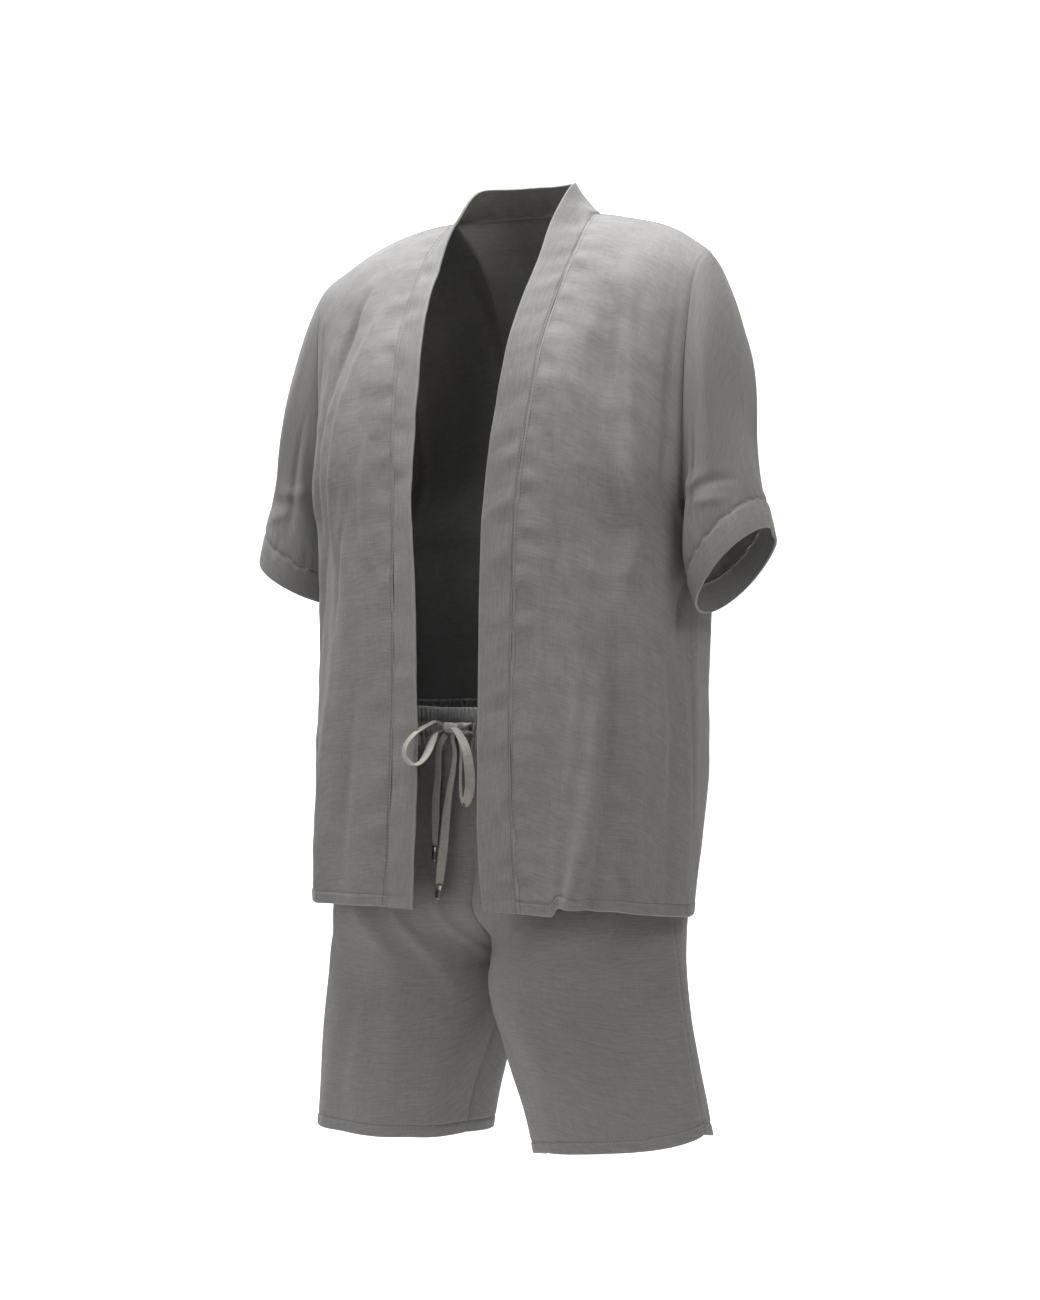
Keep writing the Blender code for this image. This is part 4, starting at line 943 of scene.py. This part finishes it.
def jacket_surfaces():
    """The jacket's plain outer grids at the scene's finer steps, before creases, hems and puckers."""
    grids = {}
    v = body_share(BODY_PLACES)
    for name, levels, side, folds in (
        ("left", LEFT_FRONT, 1, LEFT_FRONT_FOLDS),
        ("right", RIGHT_FRONT, -1, RIGHT_FRONT_FOLDS),
    ):
        base = front_panel(levels, side, BODY_PLACES, FRONT_COLUMNS)
        calm = unit(np.sin(math.pi * FRONT_COLUMNS)) ** 0.5 * unit(v * 12)[:, None]
        height = fold_heights(base, FRONT_COLUMNS, v, folds) * calm
        grids["front_" + name] = base + normals(base, False, -side) * height[..., None]
    left = back_half(LEFT_FRONT, 1, BODY_PLACES)
    right = back_half(RIGHT_FRONT, -1, BODY_PLACES)
    back = np.concatenate([right[:, ::-1], left[:, 1:]], axis=1)
    share = back_shares()
    across = np.concatenate([-share[::-1], share[1:]])
    calm = unit((1 - np.abs(across)) * 4) * unit(v * 5)[:, None]
    height = fold_heights(back, across, v, BACK_FOLDS) * calm
    grids["back"] = back + normals(back, False, 1) * height[..., None]
    arm = np.flatnonzero(BODY_PLACES <= UNDERARM_LEVEL + 1e-9)
    for name, side in (("left", 1), ("right", -1)):
        front = grids["front_" + name][arm, -1]
        rear = back[arm, -1 if side > 0 else 0]
        grids["loop_" + name] = np.concatenate([front, rear[1:-1][::-1]])
    return grids


def make_front(name, side, grid, creases, mat):
    """One front with its creases, the roll into its seams, its puckers and its hem."""
    v = body_share(BODY_PLACES)
    across, down = lengths(grid)
    seam, far = across, across[:, -1:] - across
    foot = down[-1:] - down
    seed = 11 if side > 0 else 23
    calm = unit(far / 0.02) * unit(down / 0.02)
    height = crease_heights(0.26, 0.74, FRONT_COLUMNS, v, creases) * calm
    height += 0.0015 * uneven(across * 1.6, down * 0.55, 0.085, seed) * calm
    height += 0.0005 * uneven(across * 1.2, down * 0.8, 0.030, seed + 4) * calm
    height += puckers(down, seam, 0.030, 0.020, 0.0027, seed + 1) * unit(down / 0.03)
    height += puckers(down, far, 0.034, 0.014, 0.0012, seed + 2) * calm
    height = height + seam_dip(seam, 0.0005, 0.0016) + seam_dip(far, 0.0007) + seam_dip(down, 0.0008)
    height -= 0.0009 * bell(down - 0.010, 0.0013) * inside(across, 0.085, 0.012)
    height += hem_heights(across, foot, seed + 3)
    outer = grid + normals(grid, False, -side) * height[..., None]
    if side > 0:
        step = 0.5 * (1 + np.tanh((FRONT_COLUMNS - HEM_STEP_PLACE) / 0.010)) * (1 - FRONT_COLUMNS**1.2)
        outer[..., 2] += HEM_STEP * step[None, :] * bell(foot, 0.055)
    wall = hem_wall(foot)
    wear_and_highlight = hem_wear(foot) + 0.6 * bell(seam, 0.002)
    obj = shell("jacket_front_%s_cloth" % name, outer, False, -side, mat, wall, edge=foot, wear_and_highlight=wear_and_highlight)
    declare_cloth(obj, "jacket_front_" + name)
    return outer


def make_backs(grid, mat):
    """Both halves of the back, joined at the middle seam."""
    v = body_share(BODY_PLACES)
    share = back_shares()
    u = np.concatenate([-share[::-1], share[1:]])
    across, down = lengths(grid)
    middle = grid.shape[1] // 2
    from_middle = np.abs(across - across[:, middle : middle + 1])
    to_side = np.minimum(across, across[:, -1:] - across)
    foot = down[-1:] - down
    calm = unit(to_side / 0.02) * unit(down / 0.03)
    height = crease_heights(0.28, 0.73, u, v, BACK_CREASES) * calm
    height += 0.0014 * uneven(across * 1.4, down * 0.55, 0.10, 37) * calm
    height += 0.0004 * uneven(across * 1.2, down * 0.8, 0.032, 41) * calm
    height += puckers(down, from_middle, 0.036, 0.012, 0.0007, 38) * calm
    height += puckers(down, to_side, 0.034, 0.012, 0.0008, 39) * calm
    height = height + seam_dip(from_middle, 0.0008) + seam_dip(to_side, 0.0007) + seam_dip(down, 0.0006)
    height += hem_heights(across, foot, 40)
    outer = grid + normals(grid, False, 1) * height[..., None]
    wall = hem_wall(foot)
    wear_and_highlight = hem_wear(foot) + 0.5 * bell(from_middle, 0.002)
    halves = {"right": slice(0, middle + 1), "left": slice(middle, None)}
    for name, part in halves.items():
        half, edge = outer[:, part], foot[:, part]
        obj = shell("jacket_back_%s_cloth" % name, half, False, 1, mat, wall[:, part], edge=edge, wear_and_highlight=wear_and_highlight[:, part])
        declare_cloth(obj, "jacket_back_" + name)
    return outer


def averaged(rows, passes):
    """Rows smoothed by repeated averages: each pass gives a row half of itself and a quarter of each neighbour."""
    soft = rows.copy()
    for _ in range(passes):
        soft[1:-1] = 0.25 * soft[:-2] + 0.5 * soft[1:-1] + 0.25 * soft[2:]
    return soft


def eased(line, middle, reach=0.17):
    """Rounds a line's corners within a reach of its middle point."""
    soft = averaged(line, 60)
    away = along(line)
    share = unit(1.6 - 1.6 * (np.abs(away - away[middle]) / reach) ** 2)[:, None]
    return line * (1 - share) + soft * share


def make_band(mat):
    """The neck band: folded lengthways, sewn to the neckline, slightly full between its seam and its free fold."""
    turns = NECK_COLUMNS[1:] * math.pi / 2
    seams, edges = [], []
    for levels, side in ((RIGHT_FRONT, -1), (LEFT_FRONT, 1)):
        row = smooth_rows(levels, BODY_PLACES)
        edges.append(row[:, :3] * [side, 1, 1])
        seams.append(row[:, 3:6] * [side, 1, 1])
    top = LEFT_FRONT[0]
    full = np.concatenate([[0.0], turns])
    arc_seam = neck_arc(full, top.seam_x, BACK[0].y - top.seam_y, top.seam_y, top.seam_z, BACK[0].z)
    arc_edge = neck_arc(full, top.edge_x, 0.048, top.edge_y, top.edge_z, 0.0475)
    seam, edge = (
        np.concatenate([line[0][::-1], (arc[::-1] * [-1, 1, 1])[1:], arc[1:], line[1][1:]])
        for arc, line in ((arc_seam, seams), (arc_edge, edges))
    )
    edge = eased(edge, len(edge) // 2)
    share = BAND_COLUMNS[None, :, None]
    grid = seam[:, None] * (1 - share) + edge[:, None] * share
    across, down = lengths(grid)
    far = across[:, -1:] - across
    foot = np.minimum(down, down[-1:] - down)
    crown = 0.0006 * np.sin(math.pi * unit(BAND_COLUMNS)) ** 0.5
    height = crown[None, :] + puckers(down, across, 0.026, 0.016, 0.0026, 51) + 0.0006 * uneven(across, down, 0.05, 52)
    height = height + seam_dip(across, 0.0005, 0.0014) + seam_dip(foot - HEM_DEPTH, 0.0004, 0.0010)
    for corner in (len(seams[0]) - 1, len(grid) - len(seams[1])):
        beside = bell(down - down[corner], 0.045)
        height -= NECK_FLARE * beside * np.sin(math.pi * unit(BAND_COLUMNS))[None, :]
    outer = grid + normals(grid, False, 1) * height[..., None]
    edge_away = np.minimum(far, foot)
    wear_and_highlight = bell(far, 0.0018) + 0.5 * bell(across, 0.0018)
    uv = np.stack([down, across], -1)
    obj = shell("neck_band_cloth", outer, False, 1, mat, BAND_WALL, edge=edge_away, wear_and_highlight=wear_and_highlight, uv=uv)
    declare_cloth(obj, "neck_band")
    return outer


def rim_points(shape, side, turns):
    """The sleeve's rim: a tilted oval with its outer end up. Turn 0 is its outer end, a quarter turn its front."""
    tilt = math.radians(shape.tilt)
    outwards = np.array([side * math.cos(tilt), 0, math.sin(tilt)])
    centre = np.array([side * shape.x, shape.y, shape.z])
    forwards = np.array([0, -1, 0])
    return centre + shape.across * np.cos(turns)[:, None] * outwards + shape.along * np.sin(turns)[:, None] * forwards


def make_sleeve(name, side, loop, shape, mat):
    """A sleeve from its armhole to the cuff seam, and the turned cuff below it."""
    steps = np.linalg.norm(np.roll(loop, -1, axis=0) - loop, axis=1)
    reached = np.concatenate([[0], np.cumsum(steps)[:-1]])
    turns = 2 * math.pi * reached / steps.sum()
    lean = math.radians(shape.lean)
    downwards = np.array([side * math.sin(lean), 0, -math.cos(lean)])
    rim = rim_points(shape, side, turns)
    seam = rim - CUFF_DEPTH * downwards
    length = np.linalg.norm(seam - loop, axis=1)[:, None]
    start = np.stack([np.full(len(turns), side * 0.68), -0.30 * np.sin(turns), np.full(len(turns), -0.90)], 1)
    start = unit_rows(start)
    grid = bezier(loop, loop + start * length * 0.29, seam - downwards * length * 0.34, seam, SLEEVE_ROWS)
    grid = grid.transpose(1, 0, 2)
    seed = 61 if side > 0 else 71
    around = np.broadcast_to(reached[None, :], grid.shape[:2])
    _, down = lengths(grid)
    foot = down[-1:] - down
    calm = unit(down / 0.02) * unit(foot / 0.012)
    ring = 2 * math.pi * around / steps.sum()
    height = 0.6 * crease_heights(0.46, 0.25, turns / (2 * math.pi), SLEEVE_ROWS, SLEEVE_FOLDS) * calm
    height += 0.0006 * uneven(around, down, 0.075, seed + 5) * calm
    wave = np.sin(3 * ring + 4 * down / 0.1 + seed) + 0.7 * np.sin(5 * ring - 3 * down / 0.1)
    height += 0.0009 * wave * calm
    height += 0.0007 * np.exp(-foot / 0.014) * np.sin(23 * ring + 2 * np.sin(5 * ring)) * unit(foot / 0.002)
    height = height + seam_dip(down, 0.0006) + seam_dip(foot, 0.0009)
    outer = grid + normals(grid, True, side) * height[..., None]
    wear_and_highlight = 0.6 * bell(foot, 0.002) + 0.4 * bell(down, 0.002)
    uv = np.stack([around, down], -1)
    obj = shell("sleeve_%s_cloth" % name, outer, True, side, mat, CLOTH, wear_and_highlight=wear_and_highlight, uv=uv)
    declare_cloth(obj, "sleeve_" + name)
    third = downwards * CUFF_DEPTH / 3
    cuff = bezier(seam, seam + third, rim - third, rim, CUFF_ROWS).transpose(1, 0, 2)
    _, deep = lengths(cuff)
    left = deep[-1:] - deep
    ring = np.broadcast_to(turns[None, :], cuff.shape[:2])
    height = 0.0009 * np.sin(math.pi * unit(CUFF_ROWS))[:, None] ** 0.5
    height = height + 0.0005 * np.sin(19 * ring + 3 * np.sin(3 * ring)) * np.exp(-deep / 0.012)
    height = height + 0.0006 * np.sin(4 * ring + seed) * unit(deep / 0.01) + seam_dip(deep, 0.0010, 0.0018)
    join = np.exp(-(((ring - CUFF_JOIN) * steps.sum() / (2 * math.pi) / 0.0014) ** 2))
    height = height - 0.0008 * join
    if side > 0:
        height = height - CUFF_DENT * bell(ring - CUFF_DENT_TURN, 0.22) * unit(deep / CUFF_DEPTH) ** 1.5
    cuff_outer = cuff + normals(cuff, True, side) * height[..., None]
    wear_and_highlight = bell(left, 0.0018) + 0.5 * bell(deep, 0.0018)
    uv = np.stack([np.broadcast_to(reached[None, :], cuff.shape[:2]), deep], -1)
    obj = shell("cuff_%s_cloth" % name, cuff_outer, True, side, mat, BAND_WALL, edge=left, wear_and_highlight=wear_and_highlight, uv=uv)
    declare_cloth(obj, "cuff_" + name)
    return cuff_outer


def leg_panel(part, way, name, side, names, side_line, folds, creases, mat):
    """One leg panel, from the rise and inseam to the side seam, with its folds, gathers, puckers and hem."""
    u, v = LEG_COLUMNS, LEG_PLACES / (len(LEFT_HALF) - 1)
    inner = np.stack([side * names[part + "_x"], names[part + "_y"], names["inner_z"]], 1)
    chord = side_line - inner
    length = np.linalg.norm(chord, axis=1)
    piece = "shorts_%s_%s" % (part, name)
    fuller = smooth_rows(FULLER_PANELS.get(piece, [Fuller(0, 0)] * len(LEFT_HALF)), LEG_PLACES)
    reach = names["near"] + fuller[:, 1]
    near = reach * length
    far = names["far"] * length
    leave = np.radians(names["leave"] + fuller[:, 0])
    rise = chord[:, 2] * reach
    first = inner + np.stack([side * np.cos(leave) * near, way * np.sin(leave) * near, rise], 1)
    second = side_line + np.stack([0 * far, way * far, -chord[:, 2] * names["far"]], 1)
    base = bezier(inner, first, second, side_line, u)
    beside = bell(LEG_PLACES - CROTCH_LEVEL, 1.3)[:, None]
    smoothed = (unit((u - 0.03) / 0.22)[None, :] * beside)[..., None]
    base = base * (1 - smoothed) + averaged(base, 110) * smoothed
    turn = side * way
    calm = unit(np.sin(math.pi * u)) ** 0.6 * unit(v * 6)[:, None]
    grid = base + normals(base, False, turn) * (fold_heights(base, u, v, folds) * calm)[..., None]
    across, down = lengths(grid)
    to_side = across[:, -1:] - across
    foot = down[-1:] - down
    seed = 81 + 3 * side + way
    calm = unit(across / 0.015) * unit(to_side / 0.015) * unit(down / 0.01)
    height = 0.6 * crease_heights(0.24, 0.40, u, v, creases) * calm
    gathers = np.sin(2 * math.pi * across / 0.0115 + 2.5 * np.sin(across / 0.009 + seed) + down / 0.02)
    height += 0.0011 * gathers * np.exp(-down / 0.030) * unit(across / 0.006)
    height += 0.0012 * uneven(across * 1.5, down * 0.5, 0.080, seed) * calm
    height += puckers(down, across, 0.030, 0.012, 0.0009, seed + 20) * calm
    height = height + seam_dip(across, 0.0008) + seam_dip(to_side, 0.0008)
    height += hem_heights(across, foot, seed + 30)
    outer = grid + normals(grid, False, turn) * height[..., None]
    wall = hem_wall(foot)
    wear_and_highlight = hem_wear(foot)
    obj = shell(piece + "_cloth", outer, False, turn, mat, wall, edge=foot, wear_and_highlight=wear_and_highlight)
    declare_cloth(obj, piece)
    return outer, turn


def make_shorts(mat):
    """The shorts' four panels, gathered at the top, with rise, inseam and side seams and a turned hem."""
    outers = []
    for name, levels, side in (("left", LEFT_HALF, 1), ("right", RIGHT_HALF, -1)):
        inner_row = cornered_rows(levels, LEG_PLACES, CROTCH_LEVEL)[:, :5]
        row = np.concatenate([inner_row, smooth_rows(levels, LEG_PLACES)[:, 5:]], axis=1)
        names = {field: row[:, k] for k, field in enumerate(Half._fields)}
        forward = bell(LEG_PLACES - (CROTCH_LEVEL - 1), 0.55)
        names["front_y"] = names["front_y"] - RISE_FORWARD * forward
        names["front_x"] = names["front_x"] - side * RISE_ASIDE * forward
        side_line = np.stack([side * names["side_x"], names["side_y"], names["side_z"]], 1)
        for part, way, folds, creases in (
            ("front", -1, SHORTS_FRONT_FOLDS, SHORTS_FRONT_CREASES),
            ("back", 1, SHORTS_BACK_FOLDS, SHORTS_BACK_CREASES),
        ):
            outers.append(leg_panel(part, way, name, side, names, side_line, folds, creases, mat))
    return outers


def make_waistband(mat):
    """The elastic waistband: gathers |sin| of an uneven phase round it, pinched between three stitched tunnels."""
    steps = 6 * GATHERS
    rows = 31
    line = LEFT_HALF[0]
    turn = np.linspace(0, 2 * math.pi, steps, endpoint=False)
    power = 2 / 2.25
    middle = (line.front_y + line.back_y) / 2
    depth = (line.back_y - line.front_y) / 2
    x = line.side_x * np.sign(np.sin(turn)) * np.abs(np.sin(turn)) ** power
    y = middle - depth * np.sign(np.cos(turn)) * np.abs(np.cos(turn)) ** power
    reached = np.concatenate([[0], np.cumsum(np.hypot(np.diff(x), np.diff(y)))])
    around = np.linspace(0, reached[-1] + reached[1], steps, endpoint=False)
    x = np.interp(around, reached, x)
    y = np.interp(around, reached, y)
    out = np.stack([np.roll(y, -1) - np.roll(y, 1), np.roll(x, 1) - np.roll(x, -1)], 1)
    out = unit_rows(out)
    out *= np.sign((out * (np.stack([x, y], 1) - [0, middle])).sum(1))[:, None]
    share = np.linspace(0, 1, rows)[:, None]
    circle = 2 * math.pi * around[None, :] / around[-1]
    phase = GATHERS / 2 * circle + 0.9 * np.sin(7 * circle) + 0.7 * np.sin(17 * circle + 5 * share)
    phase = phase + 0.5 * np.sin(29 * circle)
    phase = phase + 0.5 * np.sin(9.4 * share + 11 * circle)
    gather = 2 * np.abs(np.sin(phase)) - 1
    tunnel = np.abs(np.sin(math.pi * TUNNELS * share)) ** 0.6
    swell = TUNNEL_RISE * tunnel + GATHER_DEPTH * gather * (0.45 + 0.55 * tunnel)
    tuck = 0.0015 * (1 - share)
    offset = (swell - tuck)[..., None]
    height = WAIST_TOP + (WAIST_BOTTOM - WAIST_TOP) * share + 0.0004 * np.sin(13 * circle) * (1 - share)
    flat = np.stack([x, y], 1)[None] + out[None] * offset
    outer = np.concatenate([flat, height[..., None]], axis=2)
    top = (share * abs(WAIST_BOTTOM - WAIST_TOP)) + np.zeros_like(circle)
    uv = np.stack([around[None, :] * 1.5 + np.zeros_like(share), height], -1)
    # Painted highlight: the crests of the gathers, swollen between the tunnels, take the lighter wear colour.
    wear_and_highlight = 0.5 * unit(gather) * tunnel
    turn_sign = waist_turn(outer)
    obj = shell("waistband_cloth", outer, True, turn_sign, mat, WAIST_WALL - 0.0004, edge=top, wear_and_highlight=wear_and_highlight, uv=uv)
    declare_cloth(obj, "waistband")
    return outer


def waist_turn(outer):
    """1 where a closed grid's own normals point away from its middle, and -1 where they point to it."""
    away = outer - outer.mean(axis=(0, 1))
    return 1 if (normals(outer, True, 1) * away)[..., :2].sum() > 0 else -1


def sewing(fronts, backs, band, cuffs, shorts, waist, mat):
    """All visible stitching, as rows on the finished surfaces."""
    rows = []

    def row_at(grid, closed, turn, distance, from_end=True, axis=0):
        """A line at a distance from a grid's last or first row or column, with its normals."""
        across, down = lengths(grid)
        normal = normals(grid, closed, turn)
        measure = down if axis == 0 else across
        if from_end:
            measure = measure[-1:] - measure if axis == 0 else measure[:, -1:] - measure
        nearest = np.abs(measure - distance).argmin(axis=axis)
        other = np.arange(len(nearest))
        pick = (nearest, other) if axis == 0 else (other, nearest)
        return grid[pick], normal[pick]

    for sign, grid in fronts.items():
        rows.append(row_at(grid, False, -sign, HEM_DEPTH))
        rows.append(row_at(grid, False, -sign, FRONT_STITCHING, from_end=False, axis=1))
    rows.append(row_at(backs, False, 1, HEM_DEPTH))
    rows.append(row_at(band, False, 1, BAND_STITCHING, from_end=False, axis=1))
    jacket = stitches("jacket_stitching", rows, mat)
    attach(jacket, "root")
    rows = []
    for sign, cuff in cuffs.items():
        rows.append(row_at(cuff, True, sign, CUFF_STITCHING, from_end=False))
    for outer, turn in shorts:
        rows.append(row_at(outer, False, turn, HEM_DEPTH))
    for k in range(1, TUNNELS):
        row = round((len(waist) - 1) * k / TUNNELS)
        rows.append((waist[row], normals(waist, True, waist_turn(waist))[row]))
    trim = stitches("cuff_and_shorts_stitching", rows, mat)
    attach(trim, "root")


def make_stage():
    """A pale floor that curves up into a backdrop, and soft studio light from above and in front."""
    away, right = -CAMERA_SIDE[:2], CAMERA_RIGHT[:2]
    bend = np.linspace(0, math.pi / 2, 24)
    run = np.concatenate([[-6.0, 0.0], 2.4 + 1.2 * np.sin(bend), [3.6]])
    rise = np.concatenate([[0.0, 0.0], 1.2 - 1.2 * np.cos(bend), [5.0]])
    spread = np.linspace(-5.0, 5.0, 3)
    xy = run[:, None, None] * away + spread[None, :, None] * right
    points = np.concatenate([xy, np.broadcast_to(FLOOR_HEIGHT + rise[:, None, None], (len(run), 3, 1))], axis=2)
    finish = Finish("pale_floor", Roughness=0.9)
    finish.colour(finish.mix(finish.speckle(3.0), (0.93, 0.93, 0.93, 1), (0.95, 0.95, 0.95, 1)))
    floor = put_mesh("floor", points.reshape(-1, 3), grid_quads(len(run), 3, False)[:, ::-1], finish.material)
    world = bpy.data.worlds.new("studio")
    world.use_nodes = True
    world.node_tree.nodes["Background"].inputs["Color"].default_value = (1.0, 0.995, 0.86, 1)
    world.node_tree.nodes["Background"].inputs["Strength"].default_value = 0.12
    bpy.context.scene.world = world
    behind = (2.3 * away[0], 2.3 * away[1], 2.1)
    beyond = (3.4 * away[0], 3.4 * away[1], -0.9)
    cloth = (0.0, 0.0, -0.35)
    for name, place, aim, size, power, colour in (
        ("top", (-0.1, -0.25, 1.45), cloth, 1.4, 86, (0.94, 0.95, 1.0)),
        ("key", (-1.3, -1.9, 1.3), cloth, 1.8, 24, (0.99, 0.99, 0.97)),
        ("fill", (2.0, -0.6, 1.4), cloth, 1.2, 30, (1.0, 0.99, 0.91)),
        ("backdrop", behind, beyond, 2.6, 130, (1.0, 1.0, 1.0)),
    ):
        data = bpy.data.lights.new(name, "AREA")
        data.size = size
        data.energy = power
        data.color = colour
        aimed(name, data, place, aim)


bpy.context.scene.view_settings.view_transform = "Standard"
make_camera()
# The third colour is the lighter one, for wear at edges and seams and for the painted highlight on the waistband's
# gathers.
linen = woven(
    "grey_linen", (0.128, 0.125, 0.119, 1), (0.222, 0.217, 0.208, 1), (0.25, 0.245, 0.236, 1),
    pitch=0.00075, depth=0.00035, slub=1.0, rough=0.86, sheen=0.12,
)
cotton_tape = woven(
    "drawstring_tape", (0.235, 0.222, 0.192, 1), (0.40, 0.385, 0.34, 1), (0.42, 0.405, 0.36, 1),
    pitch=0.0008, depth=0.0004, slub=0.7, rough=0.8, sheen=0.2,
)
thread = plain_yarn("sewing_thread", (0.075, 0.073, 0.070, 1), (0.125, 0.122, 0.117, 1), 0.75)
tip_metal = brushed_metal("tip_metal", (0.20, 0.195, 0.19, 1), (0.36, 0.355, 0.345, 1))
make_drawstring(cotton_tape, tip_metal)
surfaces = jacket_surfaces()
sewing(
    fronts={
        1: make_front("left", 1, surfaces["front_left"], LEFT_FRONT_CREASES, linen),
        -1: make_front("right", -1, surfaces["front_right"], RIGHT_FRONT_CREASES, linen),
    },
    backs=make_backs(surfaces["back"], linen),
    band=make_band(linen),
    cuffs={
        1: make_sleeve("left", 1, surfaces["loop_left"], LEFT_SLEEVE, linen),
        -1: make_sleeve("right", -1, surfaces["loop_right"], RIGHT_SLEEVE, linen),
    },
    shorts=make_shorts(linen),
    waist=make_waistband(linen),
    mat=thread,
)
make_stage()
